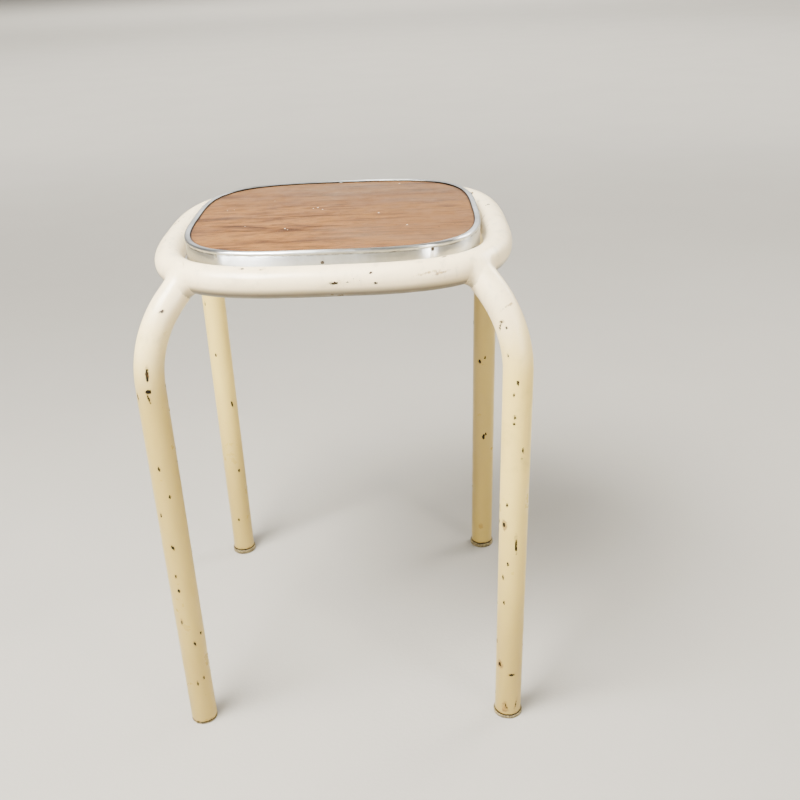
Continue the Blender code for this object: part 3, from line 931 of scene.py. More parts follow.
@dataclass(frozen=True)
class WoodGrainLaminate:
    """Teak-coloured laminate with its grain along X, matt from use, with a few flecks of paint.

    Attributes:
        light: Colour between the streaks.
        middle: Colour of the broad bands.
        dark: Colour of the dark streaks.
        rosy: Colour of the pinker patches.
        pore: Colour of the fine short lines, and of the dark line of dirt and painted shade along the rim
            under the lip.
        dusty: Colour of the worn, dusty haze.
        fleck: Colour of the paint flecks.
        half: Half width of what shows inside the trim.
        power: Squareness of that outline.
        flecks: Where some flecks lie, as X and Y, with their size.
        spots: Where some dark spots lie, in the same way.
    """

    light: tuple = (0.172, 0.076, 0.0185, 1)
    middle: tuple = (0.100, 0.040, 0.0098, 1)
    dark: tuple = (0.027, 0.0092, 0.0026, 1)
    rosy: tuple = (0.116, 0.053, 0.0190, 1)
    pore: tuple = (0.018, 0.0065, 0.0026, 1)
    dusty: tuple = (0.145, 0.105, 0.064, 1)
    fleck: tuple = (0.80, 0.74, 0.62, 1)
    half: float = 0.1247
    power: float = SEAT_POWER
    flecks: tuple = (
        (-0.017, 0.022, 0.0008),
        (-0.021, 0.019, 0.0006),
        (-0.012, 0.014, 0.0006),
        (0.040, -0.006, 0.0008),
        (0.065, -0.053, 0.0008),
        (0.060, 0.111, 0.0009),
        (-0.041, -0.050, 0.0006),
    )
    spots: tuple = ((0.092, -0.063, 0.0008), (0.106, -0.055, 0.0007))

    def make(self, name: str = "teak_grain_laminate") -> bpy.types.Material:
        """Makes the material."""
        board = NodeBoard(name)
        spot = board.place()
        bands = board.noise(board.place((1.5, 24, 1), 1.5), 1.6, 6, 0.6, 0.35)
        streaks = board.noise(board.place((20, 150, 1), 1.5), 1.4, 6, 0.74, 0.25)
        figure = board.mix(0.52, bands, streaks)
        tones = (self.dark, self.middle, self.light, self.middle, self.dark)
        colour = board.ramp(figure, list(zip((0.415, 0.465, 0.52, 0.575, 0.64), tones)))
        rosy = board.between(board.noise(board.place((4, 16, 1)), 1.2, 3), 0.42, 0.66, (0, 0.55))
        colour = board.mix(rosy, colour, self.rosy)
        pores = board.noise(board.place((42, 330, 1), 1.5), 1.0, 5, 0.72)
        pores = board.between(pores, 0.53, 0.66, (0, 0.62))
        colour = board.mix(pores, colour, self.pore)
        haze = board.noise(board.place((3, 9, 1), 4), 1.6, 5, 0.6)
        speckle = board.between(board.noise(spot, 700, 3, 0.6), 0.35, 0.65, (0.4, 1))
        haze = board.maths("MULTIPLY", board.between(haze, 0.5, 0.72, (0, 0.5)), speckle)
        colour = board.mix(haze, colour, self.dusty)

        # Dirt and painted shade: a dark line along the rim where the laminate meets the trim's lip.
        shares = [board.maths("DIVIDE", board.axis(axis), self.half) for axis in ("X", "Y")]
        power = [board.maths("POWER", board.maths("ABSOLUTE", share), self.power) for share in shares]
        rim = board.between(board.maths("ADD", *power), 0.955, 0.99, (0, 0.85))
        colour = board.mix(rim, colour, self.pore)

        dots = board.between(board.cells(spot, 60), 0.02, 0.03, (1, 0))
        dots = board.maths("MULTIPLY", dots, board.between(board.noise(spot, 21, 2), 0.57, 0.6))
        dots = board.maths("MAXIMUM", dots, self.dots(board, self.flecks))
        colour = board.mix(dots, colour, self.fleck)
        colour = board.mix(self.dots(board, self.spots), colour, self.pore)
        matt = board.between(board.noise(spot, 40, 5, 0.65), 0.3, 0.7, (0.5, 0.64))
        skin = board.bump(board.maths("SUBTRACT", 1.0, pores), 0.00005)
        skin = board.bump(board.noise(spot, 500, 3, 0.5), 0.00002, over=skin)
        skin = board.bump(dots, 0.0002, over=skin)
        return board.dress(base_color=colour, roughness=matt, normal=skin, specular_ior_level=0.16)

    def dots(self, board: NodeBoard, places: tuple) -> Socket:
        """Draws small round dots.

        Args:
            board: The board that the nodes go on.
            places: Where the dots lie, as X and Y, with their size.

        Returns:
            A socket that is 1 in a dot.
        """
        flat, dots = board.place((1, 1, 0)), 0.0
        for x, y, size in places:
            far = board.add("VectorMath", {0: flat, 1: (x, y, 0)}, "Value", operation="DISTANCE")
            dots = board.maths("MAXIMUM", dots, board.between(far, size * 0.8, size * 1.2, (1, 0)))
        return dots


@dataclass(frozen=True)
class LayeredPly:
    """Birch ply whose layers lie level, with end grain in every other one.

    Attributes:
        pale: Colour of the long grain.
        brown: Colour of the end grain.
        glue: Colour of the lines between the layers.
        layers: How many layers there are.
    """

    pale: tuple = rgb(214, 182, 134)
    brown: tuple = rgb(166, 124, 80)
    glue: tuple = rgb(92, 62, 40)
    layers: int = 9

    def make(self, bottom: float, thickness: float, name: str = "birch_ply") -> bpy.types.Material:
        """Makes the material.

        Args:
            bottom: Height of the core's underside.
            thickness: Thickness of the core.
            name: The material's name.

        Returns:
            The material.
        """
        board = NodeBoard(name)
        spot = board.place()
        level = board.maths("DIVIDE", board.maths("SUBTRACT", board.axis("Z"), bottom), thickness)
        wave = board.maths("MULTIPLY", level, self.layers)
        turn = board.maths("PINGPONG", wave, 1.0)
        grain = board.noise(board.place((3, 160, 160)), 1.5, 5, 0.6)
        colour = board.mix(board.between(turn, 0.35, 0.65), self.pale, self.brown)
        colour = board.mix(board.between(grain, 0.4, 0.7, (0, 0.5)), colour, self.brown)
        line = board.between(board.maths("PINGPONG", wave, 0.5), 0.02, 0.07, (0.8, 0))
        colour = board.mix(line, colour, self.glue)
        skin = board.bump(board.noise(spot, 700, 3, 0.7), 0.0001)
        return board.dress(base_color=colour, roughness=0.78, normal=skin)


@dataclass(frozen=True)
class FibreBacking:
    """Brown balancing sheet under the seat, with the mesh pattern of its pressing.

    Attributes:
        brown: Main colour.
        deep: Colour of the darker patches.
        dust: Colour of the dust on it.
    """

    brown: tuple = rgb(112, 78, 52)
    deep: tuple = rgb(78, 52, 34)
    dust: tuple = rgb(150, 128, 100)

    def make(self, name: str = "brown_backing") -> bpy.types.Material:
        """Makes the material."""
        board = NodeBoard(name)
        spot = board.place()
        mottle = board.noise(spot, 90, 6, 0.65)
        colour = board.mix(board.between(mottle, 0.35, 0.65), self.brown, self.deep)
        dusty = board.between(board.noise(spot, 13, 5, 0.6), 0.48, 0.72, (0, 0.45))
        colour = board.mix(dusty, colour, self.dust)
        mesh = board.cells(spot, 620, random=0.15)
        skin = board.bump(mesh, 0.00012)
        skin = board.bump(mottle, 0.0001, over=skin)
        matt = board.between(mottle, 0.3, 0.7, (0.58, 0.74))
        return board.dress(base_color=colour, roughness=matt, normal=skin)


@dataclass(frozen=True)
class MottledMetal:
    """Plated or bare steel that has dulled and gone brown in patches.

    Attributes:
        bright: Colour of the metal that is left.
        worn: Colour of the dull parts.
        rust: Colour of the corroded parts.
        cover: How much of it is corroded, from 0 to 1.
        grain: Size of the patches, as a noise scale.
    """

    bright: tuple
    worn: tuple
    rust: tuple
    cover: float
    grain: float

    def make(self, name: str) -> bpy.types.Material:
        """Makes the material."""
        board = NodeBoard(name)
        spot = board.place()
        patches = board.noise(spot, self.grain, 6, 0.68, 0.6)
        dull = board.between(board.noise(spot, self.grain * 0.5, 4), 0.35, 0.65)
        colour = board.mix(dull, self.bright, self.worn)
        edge = 0.68 - 0.36 * self.cover
        eaten = board.between(patches, edge - 0.05, edge + 0.07)
        flakes = board.noise(spot, self.grain * 3, 5, 0.7)
        scale = board.mix(board.between(flakes, 0.4, 0.65), self.rust, self.worn)
        colour = board.mix(eaten, colour, scale)
        shine = board.between(eaten, 0, 1, (1, 0.15))
        matt = board.between(eaten, 0, 1, (0.36, 0.82))
        pitted = board.maths("MULTIPLY", flakes, eaten)
        skin = board.bump(pitted, 0.0005)
        skin = board.bump(board.noise(spot, self.grain * 7, 3), 0.00006, over=skin)
        return board.dress(base_color=colour, roughness=matt, normal=skin, metallic=shine)


@dataclass(frozen=True)
class BeechWood:
    """Plain beech with its grain upright and short dark rays.

    Attributes:
        pale: Colour of the early wood.
        brown: Colour of the late wood.
        ray: Colour of the rays.
    """

    pale: tuple = rgb(206, 164, 116)
    brown: tuple = rgb(168, 120, 78)
    ray: tuple = rgb(126, 82, 50)

    def make(self, name: str = "beech") -> bpy.types.Material:
        """Makes the material."""
        board = NodeBoard(name)
        grain = board.noise(board.place((260, 260, 14)), 1.0, 5, 0.6)
        rays = board.between(board.noise(board.place((1400, 1400, 160)), 1.0, 2), 0.62, 0.7, (0, 0.7))
        colour = board.mix(board.between(grain, 0.35, 0.65), self.pale, self.brown)
        colour = board.mix(rays, colour, self.ray)
        skin = board.bump(grain, 0.0001)
        return board.dress(base_color=colour, roughness=0.7, normal=skin)


# The welded frame


@dataclass
class SeatRing:
    """The tube that is bent to a rounded square and carries the seat.

    Attributes:
        tube: The frame's driving sizes.
        stations: Segments round the ring, each of which is cut finer.
        cuts: How many more times.
        sides: Faces round the tube.
        chances: How many random chips are tried.
        grime: How dark its underside is painted, as painted shade.
        shade_below: How far under the middle the painted shade starts, as a share of the radius.
        shade_fade: How far below that it is as dark as it gets, in the same way.
        marks: The chips and rust spots that are placed one by one.
    """

    tube: TubeFrame
    stations: int = 256
    cuts: int = 3
    sides: int = 72
    chances: int = 60
    grime: float = 1.33
    shade_below: float = 0.12
    shade_fade: float = 0.45
    marks: Sequence[Mark] = (
        Mark(-87.6, 8, 0.0034, 0.0011, 3),
        Mark(-85.9, 15, 0.0007, 0.0005, -20),
        Mark(-83.4, 10, 0.0012, 0.0005, 8),
        Mark(-76.6, 41, 0.0013, 0.0008, 30),
        Mark(-75.4, 3, 0.0017, 0.0009, 10),
        Mark(-66.5, -68, 0.0060, 0.0010, 4),
        Mark(-115.0, 76, 0.0015, 0.0009, 0),
        Mark(-109.4, 70, 0.0009, 0.0006, 0),
        Mark(-60.4, 26, 0.0056, 0.0004, 6, Wear.RUST),
        Mark(-57.2, 21, 0.0040, 0.0004, 8, Wear.RUST),
        Mark(-57.0, 20, 0.0010, 0.0003, 8),
        Mark(176.0, 64, 0.0030, 0.0016, 0, Wear.RUST),
        Mark(150.0, 30, 0.0022, 0.0010, 12),
        Mark(96.0, 14, 0.0040, 0.0010, 5),
        Mark(72.0, -10, 0.0026, 0.0012, 0),
        Mark(18.0, 6, 0.0030, 0.0011, 0),
        Mark(-12.0, 22, 0.0018, 0.0010, 30),
        Mark(44.0, -40, 0.0080, 0.0022, 0, Wear.RUST),
    )

    def build(self) -> bpy.types.Object:
        """Adds a torus and lays its rings of points along the rounded square.

        Returns:
            The ring, with its wear written in.
        """
        outline, radius = self.tube.ring, self.tube.radius
        obj = add_torus(
            "enamelled_seat_ring", self.stations, self.cuts, self.sides, outline.half, radius
        )
        outline.take_shape(obj, self.stations)
        obj.location.z = self.tube.ring_height
        apply_place(obj)
        self.weather(obj)
        return obj

    def weather(self, obj: bpy.types.Object) -> None:
        """Places the ring's chips and rust spots."""
        line = self.tube.ring_line(1440)
        middle, radius = self.tube.ring_height, self.tube.radius
        # Painted shade: the ring's underside is painted dark from a little below its middle.
        start, fade = middle - self.shade_below * radius, self.shade_fade * radius
        wear = WearMap(grime=self.grime, darkening_top=start, darkening_fade=fade)
        turns = np.degrees(np.arctan2(line.points[:, 1], line.points[:, 0]))
        for mark in self.marks:
            near = int(np.abs((turns - mark.along + 180) % 360 - 180).argmin())
            along = line.points[(near + 1) % len(turns)] - line.points[near - 1]
            along /= np.linalg.norm(along)
            outward = np.cross(along, (0, 0, 1))
            rise = math.radians(mark.facing)
            normal = math.cos(rise) * outward + math.sin(rise) * np.array((0, 0, 1))
            wear.add(mark, line.points[near] + radius * normal, along, normal)
        wear.scatter(line, radius, self.chances, seed=11)
        wear.write(obj)

    def dress(self, finishes: Finishes) -> bpy.types.Object:
        """Builds the ring and hands it over."""
        return finish_piece(self.build(), "ring_tube", Slot.ENAMEL, finishes, 180)


@dataclass
class Leg:
    """One bent leg, open at the foot and shaped to the ring at the top.

    Attributes:
        tube: The frame's driving sizes.
        corner: The leg's corner.
        marks: The chips and rust spots that are placed one by one.
        grime: How much darker it is painted below the bend, from 0 to 1, partly as painted shade.
        sides: Faces round the tube.
        rung: Length of each face where the leg is straight.
        bend_steps: Faces along the bend.
        plug_room: Depth of the bore that is modelled, for the plug.
        chances: How many random chips are tried.
        first_seed: Seed of the first corner's random chips.
    """

    tube: TubeFrame
    corner: Corner
    marks: Sequence[Mark] = ()
    grime: float = 0.0
    sides: int = 72
    rung: float = 0.0010
    bend_steps: int = 96
    plug_room: float = 0.026
    chances: int = 44
    first_seed: int = 21

    @property
    def foot_height(self) -> float:
        """Height of the tube's open end above the floor."""
        return node_box("leg_" + self.corner.label)[0].z

    def build(self) -> bpy.types.Object:
        """Extrudes a circle up the leg, spins it round the bend and runs it into the ring.

        Returns:
            The leg, with its wear written in.
        """
        tube, outward = self.tube, self.corner.outward
        foot = outward * tube.reach + Vector((0, 0, self.foot_height))
        bpy.ops.mesh.primitive_circle_add(
            vertices=self.sides, radius=tube.radius, fill_type="NOTHING", location=foot
        )
        obj = added("enamelled_leg_" + self.corner.label)
        apply_place(obj)
        straight = tube.straight_top - self.foot_height
        rungs = round(straight / self.rung)
        bend_centre = outward * (tube.reach - tube.bend_radius) + Vector((0, 0, tube.straight_top))
        axis = Vector((-outward.y, outward.x, 0))
        run = self.final_run()
        with editing(obj):
            bpy.ops.mesh.select_mode(type="EDGE")
            bpy.ops.mesh.select_all(action="SELECT")
            bpy.ops.mesh.extrude_repeat(steps=rungs, offset=(0, 0, straight / rungs))
            bpy.ops.mesh.spin(steps=self.bend_steps, angle=tube.bend, center=bend_centre, axis=axis)
            last = math.ceil(run.length / self.rung)
            bpy.ops.mesh.extrude_repeat(steps=last, offset=run / last)
            bpy.ops.mesh.edge_face_add()
            self.shape_foot(foot)
            tidy_skin()
        cut_with(obj, self.ring_cutter())
        self.weather(obj)
        return obj

    def final_run(self) -> Vector:
        """The straight run from the end of the bend to the middle of the ring's tube."""
        line = self.tube.leg_line(self.corner).points
        return Vector(line[-1]) - Vector(line[-2])

    def shape_foot(self, foot: Vector) -> None:
        """Turns the wall in at the open end and up round the plug, in edit mode."""
        pick_edges(lambda edge: all(abs(v.co.z - foot.z) < 1e-5 for v in edge.verts))
        bore = 1 - self.tube.wall / self.tube.radius
        bpy.ops.mesh.extrude_region_move(TRANSFORM_OT_translate={"value": (0, 0, 0)})
        bpy.ops.transform.resize(value=(bore, bore, 1), center_override=foot)
        bpy.ops.mesh.extrude_region_move(TRANSFORM_OT_translate={"value": (0, 0, self.plug_room)})
        bpy.ops.mesh.edge_face_add()

    def ring_cutter(self) -> bpy.types.Object:
        """A plain copy of the ring's tube that cuts the leg's end to its shape."""
        outline, stations, sides = self.tube.ring, 160, 32
        tight = self.tube.radius * 0.97
        cutter = add_torus("ring_cutter", stations, 0, sides, outline.half, tight)
        outline.take_shape(cutter, stations)
        cutter.location.z = self.tube.ring_height
        apply_place(cutter)
        return cutter

    def weather(self, obj: bpy.types.Object) -> None:
        """Places the leg's chips and rust spots."""
        line = self.tube.leg_line(self.corner)
        # The rim gives a dark band just above the glide: painted shade of the gap between tube and cup.
        wear = WearMap(grime=self.grime, rim=node_box("glide_" + self.corner.label)[1].z)
        heights = line.points[:, 2]
        for mark in self.marks:
            middle = np.array([np.interp(mark.along, heights, line.points[:, k]) for k in range(3)])
            piece = min(int(np.searchsorted(heights, mark.along)), len(heights) - 1)
            along = line.points[piece] - line.points[piece - 1]
            along /= np.linalg.norm(along)
            compass = math.radians(mark.facing)
            normal = np.array((math.cos(compass), math.sin(compass), 0.0))
            normal -= normal @ along * along
            normal /= np.linalg.norm(normal)
            wear.add(mark, middle + self.tube.radius * normal, along, normal)
        seed = self.first_seed + list(Corner).index(self.corner)
        wear.scatter(line, self.tube.radius, self.chances, seed)
        wear.write(obj)

    def dress(self, finishes: Finishes) -> bpy.types.Object:
        """Builds the leg and hands it over."""
        return finish_piece(self.build(), "leg_" + self.corner.label, Slot.ENAMEL, finishes, 50)


@dataclass
class LegWeld:
    """The weld between a leg and the ring, smoothed over by the enamel.

    Attributes:
        tube: The frame's driving sizes.
        corner: The leg's corner.
        blend: How wide the smooth transition between the two tubes is.
        reach: How far the weld runs onto each tube.
        lumps: Depth of the ripples of the weld.
        crown: How much higher its middle stands than its edges.
        tuck: How far its edges dip under the tubes' skin.
        root: How deep its hidden back lies.
        grime: How dark its underside is painted, as painted shade.
        shade_below: How far under the ring's middle that painted shade starts, as a share of the radius.
        shade_fade: How far below that it is as dark as it gets, in the same way.
        around: Segments along the weld.
        across: Points round its section.
        outer: How many of them are on its outer face.
        halvings: Steps of the search for the crease.
        settlings: Steps that bring the points onto the skin.
    """

    tube: TubeFrame
    corner: Corner
    blend: float = 0.0056
    reach: float = 0.0086
    lumps: float = 0.00009
    crown: float = 0.0002
    tuck: float = 0.00018
    root: float = 0.0016
    grime: float = 0.9
    shade_below: float = 0.15
    shade_fade: float = 0.9
    around: int = 144
    across: int = 26
    outer: int = 20
    halvings: int = 24
    settlings: int = 14

    def build(self) -> bpy.types.Object:
        """Adds a torus, lays its points along the crease and settles them on the blended skin.

        Returns:
            The weld.
        """
        ring = self.tube.ring_line(720)
        leg = self.tube.leg_line(self.corner)
        end = leg.points[-1]
        up = end - leg.points[-2]
        up /= np.linalg.norm(up)
        sideways = np.cross(up, (0, 0, 1))
        sideways /= np.linalg.norm(sideways)
        above = np.cross(sideways, up)

        angle = np.arange(self.around) / self.around * 2 * math.pi
        radial = np.cos(angle)[:, None] * above + np.sin(angle)[:, None] * sideways
        crease = self.crease(ring, end, up, radial)
        _, ring_normal = ring.distance(crease)
        onto_ring = radial + 0.5 * up
        onto_ring -= (onto_ring * ring_normal).sum(1)[:, None] * ring_normal
        onto_ring /= np.linalg.norm(onto_ring, axis=1)[:, None]

        share = np.linspace(-1, 1, self.outer)
        back = np.linspace(1, -1, self.across - self.outer + 2)[1:-1]
        share = np.concatenate([share, back])
        hidden = np.arange(self.across) >= self.outer
        sink = np.where(hidden, -self.root, self.crown * (1 - share**2) - self.tuck)
        span = np.abs(share)[None, :, None] * self.reach
        away = np.where(share[None, :, None] < 0, -up, onto_ring[:, None, :])
        points = (crease[:, None, :] + span * away).reshape(-1, 3)
        offset = np.tile(sink, self.around)
        ripple = np.sin(angle * 23 + 0.8 * np.sin(angle * 5)) * 0.6 + np.sin(angle * 9 + 1.0) * 0.4
        bulge = np.where(hidden, 0, (1 - share**2)) * self.lumps
        offset = offset + (ripple[:, None] * bulge[None, :]).ravel()

        obj = add_torus("weld_fillet_" + self.corner.label, self.around, 0, self.across, 1, 0.25)
        move_points(obj, self.settle(points, offset, ring, leg))
        with editing(obj):
            tidy_skin()
        # Painted shade: the weld's underside is painted dark like the ring's.
        middle, radius = self.tube.ring_height, self.tube.radius
        start, fade = middle - self.shade_below * radius, self.shade_fade * radius
        WearMap(grime=self.grime, darkening_top=start, darkening_fade=fade).write(obj)
        return obj

    def crease(self, ring: Line, end: np.ndarray, up: np.ndarray, radial: np.ndarray) -> np.ndarray:
        """Where the leg's skin runs into the ring's.

        Args:
            ring: The ring's centre line.
            end: Where the leg's centre line meets it.
            up: The leg's direction there.
            radial: Directions out from the leg's centre line.

        Returns:
            One point for each direction.
        """
        radius = self.tube.radius
        low = np.full(len(radial), 3 * radius)
        high = np.zeros(len(radial))
        for _ in range(self.halvings):
            middle = (low + high) / 2
            places = end - middle[:, None] * up + radius * radial
            outside = ring.distance(places)[0] > radius
            low = np.where(outside, middle, low)
            high = np.where(outside, high, middle)
        return end - low[:, None] * up + radius * radial

    def settle(self, points: np.ndarray, offset: np.ndarray, ring: Line, leg: Line) -> np.ndarray:
        """Moves points onto the smooth skin round both tubes, or a given height above it.

        Args:
            points: Starting places.
            offset: Height above the skin for each point, below it where negative.
            ring: The ring's centre line.
            leg: The leg's centre line.

        Returns:
            The settled places.
        """
        places = points.copy()
        for _ in range(self.settlings):
            from_ring, ring_way = ring.distance(places)
            from_leg, leg_way = leg.distance(places)
            crossing = np.linalg.norm(np.cross(ring_way, leg_way), axis=1)
            soft = self.blend * (0.3 + 0.7 * crossing)
            share = np.clip(0.5 + 0.5 * (from_leg - from_ring) / soft, 0, 1)
            skin = from_leg + (from_ring - from_leg) * share - soft * share * (1 - share)
            way = share[:, None] * ring_way + (1 - share)[:, None] * leg_way
            size = np.maximum((way**2).sum(1), 0.25)
            error = skin - self.tube.radius - offset
            places -= (error / size)[:, None] * way
        return places

    def dress(self, finishes: Finishes) -> bpy.types.Object:
        """Builds the weld and hands it over."""
        return finish_piece(self.build(), "leg_weld_" + self.corner.label, Slot.ENAMEL, finishes, 180)


# The feet


@dataclass
class Foot:
    """A leg's worn steel glide, its nail and the wooden plug that holds it.

    Attributes:
        tube: The frame's driving sizes.
        corner: The leg's corner.
        plate: Thickness of the glide.
        face_radius: Radius of its flat face on the floor.
        sides: Faces round the glide.
        nail_sides: Faces round the nail.
        plug_sides: Faces round the plug.
        plug_hole: Radius of the plug's hole.
        plug_chamfer: Width of the plug's chamfers.
    """

    tube: TubeFrame
    corner: Corner
    plate: float = 0.0010
    face_radius: float = 0.0095
    sides: int = 72
    nail_sides: int = 28
    plug_sides: int = 40
    plug_hole: float = 0.0014
    plug_chamfer: float = 0.001

    @property
    def axis(self) -> Vector:
        """The point on the floor under the middle of the leg."""
        return self.corner.outward * self.tube.reach

    def build_glide(self) -> bpy.types.Object:
        """Turns the glide's cup, with a rolled rim, and dents it a little."""
        low, high = node_box("glide_" + self.corner.label)
        radius, height = (high.x - low.x) / 2, high.z
        soft = 0.35 * height
        profile = [(self.face_radius, 0.0)]
        profile += [
            (
                radius - soft + soft * math.sin(math.radians(turn)),
                soft * (1 - math.cos(math.radians(turn))),
            )
            for turn in range(0, 91, 15)
        ]
        rim = min(0.18 * height, 0.0004)
        profile += [
            (radius, height - rim),
            (radius - rim * 0.3, height - rim * 0.3),
            (radius - rim, height),
            (radius - self.plate, height),
            (radius - self.plate, max(0.5 * height, self.plate) + 0.0003),
            (radius - self.plate - soft * 0.6, self.plate),
        ]
        obj = turn_up("worn_glide_" + self.corner.label, profile, self.sides, self.axis)
        points = points_of(obj)
        around = np.arctan2(points[:, 1] - self.axis.y, points[:, 0] - self.axis.x)
        dent = 0.00012 * np.sin(3 * around + 1.0) + 0.00008 * np.sin(7 * around)
        outside = np.hypot(points[:, 0] - self.axis.x, points[:, 1] - self.axis.y) > radius - 0.0002
        squeeze = 1 - np.where(outside, np.abs(dent) / radius, 0)
        points[:, 0] = self.axis.x + (points[:, 0] - self.axis.x) * squeeze
        points[:, 1] = self.axis.y + (points[:, 1] - self.axis.y) * squeeze
        move_points(obj, points)
        return obj

    def build_nail(self) -> bpy.types.Object:
        """Turns the nail that holds the glide to the plug."""
        low, high = node_box("glide_nail_" + self.corner.label)
        head = (high.x - low.x) / 2
        length = high.z - low.z
        shank = head * 0.3
        profile = [
            (head * 0.9, 0),
            (head, 0.0002),
            (head, 0.0007),
            (head * 0.8, 0.0009),
            (shank * 1.15, 0.0011),
            (shank, 0.0014),
            (shank, length - 0.003),
            (shank * 0.08, length),
        ]
        place = self.axis + Vector((0, 0, low.z))
        return turn_up("glide_pin_" + self.corner.label, profile, self.nail_sides, place)

    def build_plug(self) -> bpy.types.Object:
        """Turns the wooden plug, with its hole for the nail."""
        low, high = node_box("foot_plug_" + self.corner.label)
        radius, height = (high.x - low.x) / 2, high.z - low.z
        hole, chamfer = self.plug_hole, self.plug_chamfer
        profile = [
            (hole, 0),
            (radius - chamfer, 0),
            (radius - 0.0003, 0.0003),
            (radius, chamfer),
            (radius, height - chamfer),
            (radius - 0.0003, height - 0.0003),
            (radius - chamfer, height),
            (hole, height),
        ]
        place = self.axis + Vector((0, 0, low.z))
        name = "beech_plug_" + self.corner.label
        return turn_up(name, profile, self.plug_sides, place, ring=True)

    def dress(self, finishes: Finishes) -> list[bpy.types.Object]:
        """Builds the foot's pieces and hands them over."""
        label = self.corner.label
        return [
            finish_piece(self.build_glide(), "glide_" + label, Slot.GLIDE, finishes, 50),
            finish_piece(self.build_nail(), "glide_nail_" + label, Slot.NAIL, finishes),
            finish_piece(self.build_plug(), "foot_plug_" + label, Slot.BEECH, finishes),
        ]


# The seat


@dataclass
class SeatPanel:
    """The seat's flat layers: laminate on top, core, and backing sheet underneath.

    Attributes:
        outline: Outer face of the trim, from above.
        inset: How far the layers lie inside it.
        points: Points round the outline.
        sheet_edge: Radius of the edges of the two sheets.
        core_edge: Radius of the edges of the core.
        screw_room: Radius of the holes for the screws.
    """

    outline: RoundedSquare
    inset: float = 0.0018
    points: int = 288
    sheet_edge: float = 0.0002
    core_edge: float = 0.0004
    screw_room: float = 0.0024

    def build_layer(self, name: str, node: str, edge: float) -> bpy.types.Object:
        """Makes one layer with slightly rounded edges.

        Args:
            name: The piece's name.
            node: The frame's node that gives its height and thickness.
            edge: Radius of its edges.

        Returns:
            The layer.
        """
        low, high = node_box(node)
        bpy.ops.mesh.primitive_circle_add(
            vertices=self.points, radius=self.outline.half - self.inset, fill_type="NGON"
        )
        obj = added(name)
        self.outline.take_shape(obj, self.points)
        obj.location.z = low.z
        apply_place(obj)
        with editing(obj):
            bpy.ops.mesh.select_all(action="SELECT")
            rise = {"value": (0, 0, high.z - low.z)}
            bpy.ops.mesh.extrude_region_move(TRANSFORM_OT_translate=rise)
            tidy_skin()
            pick_edges(lambda e: abs(e.verts[0].co.z - e.verts[1].co.z) < 1e-6)
            bpy.ops.mesh.bevel(offset=edge, segments=3, affect="EDGES")
        return obj

    def drill(self, obj: bpy.types.Object) -> None:
        """Cuts the four screw holes through a layer."""
        drills = []
        for side in Side:
            low, high = node_box("seat_screw_" + side.label)
            middle = (low + high) / 2
            bpy.ops.mesh.primitive_cylinder_add(
                vertices=24, radius=self.screw_room, depth=2 * (high.z - low.z), location=middle
            )
            drills.append(added("drill_" + side.label))
        cutter = join_all(drills)
        apply_place(cutter)
        cut_with(obj, cutter)

    def dress(self, finishes: Finishes) -> list[bpy.types.Object]:
        """Builds the layers and hands them over."""
        top = self.build_layer("teak_laminate_top", "seat_laminate", self.sheet_edge)
        core = self.build_layer("ply_core", "seat_core", self.core_edge)
        under = self.build_layer("brown_backing_sheet", "backing_sheet", self.sheet_edge)
        self.drill(under)
        return [
            finish_piece(top, "seat_laminate", Slot.LAMINATE, finishes),
            finish_piece(core, "seat_core", Slot.PLYWOOD, finishes),
            finish_piece(under, "backing_sheet", Slot.BACKING, finishes),
        ]


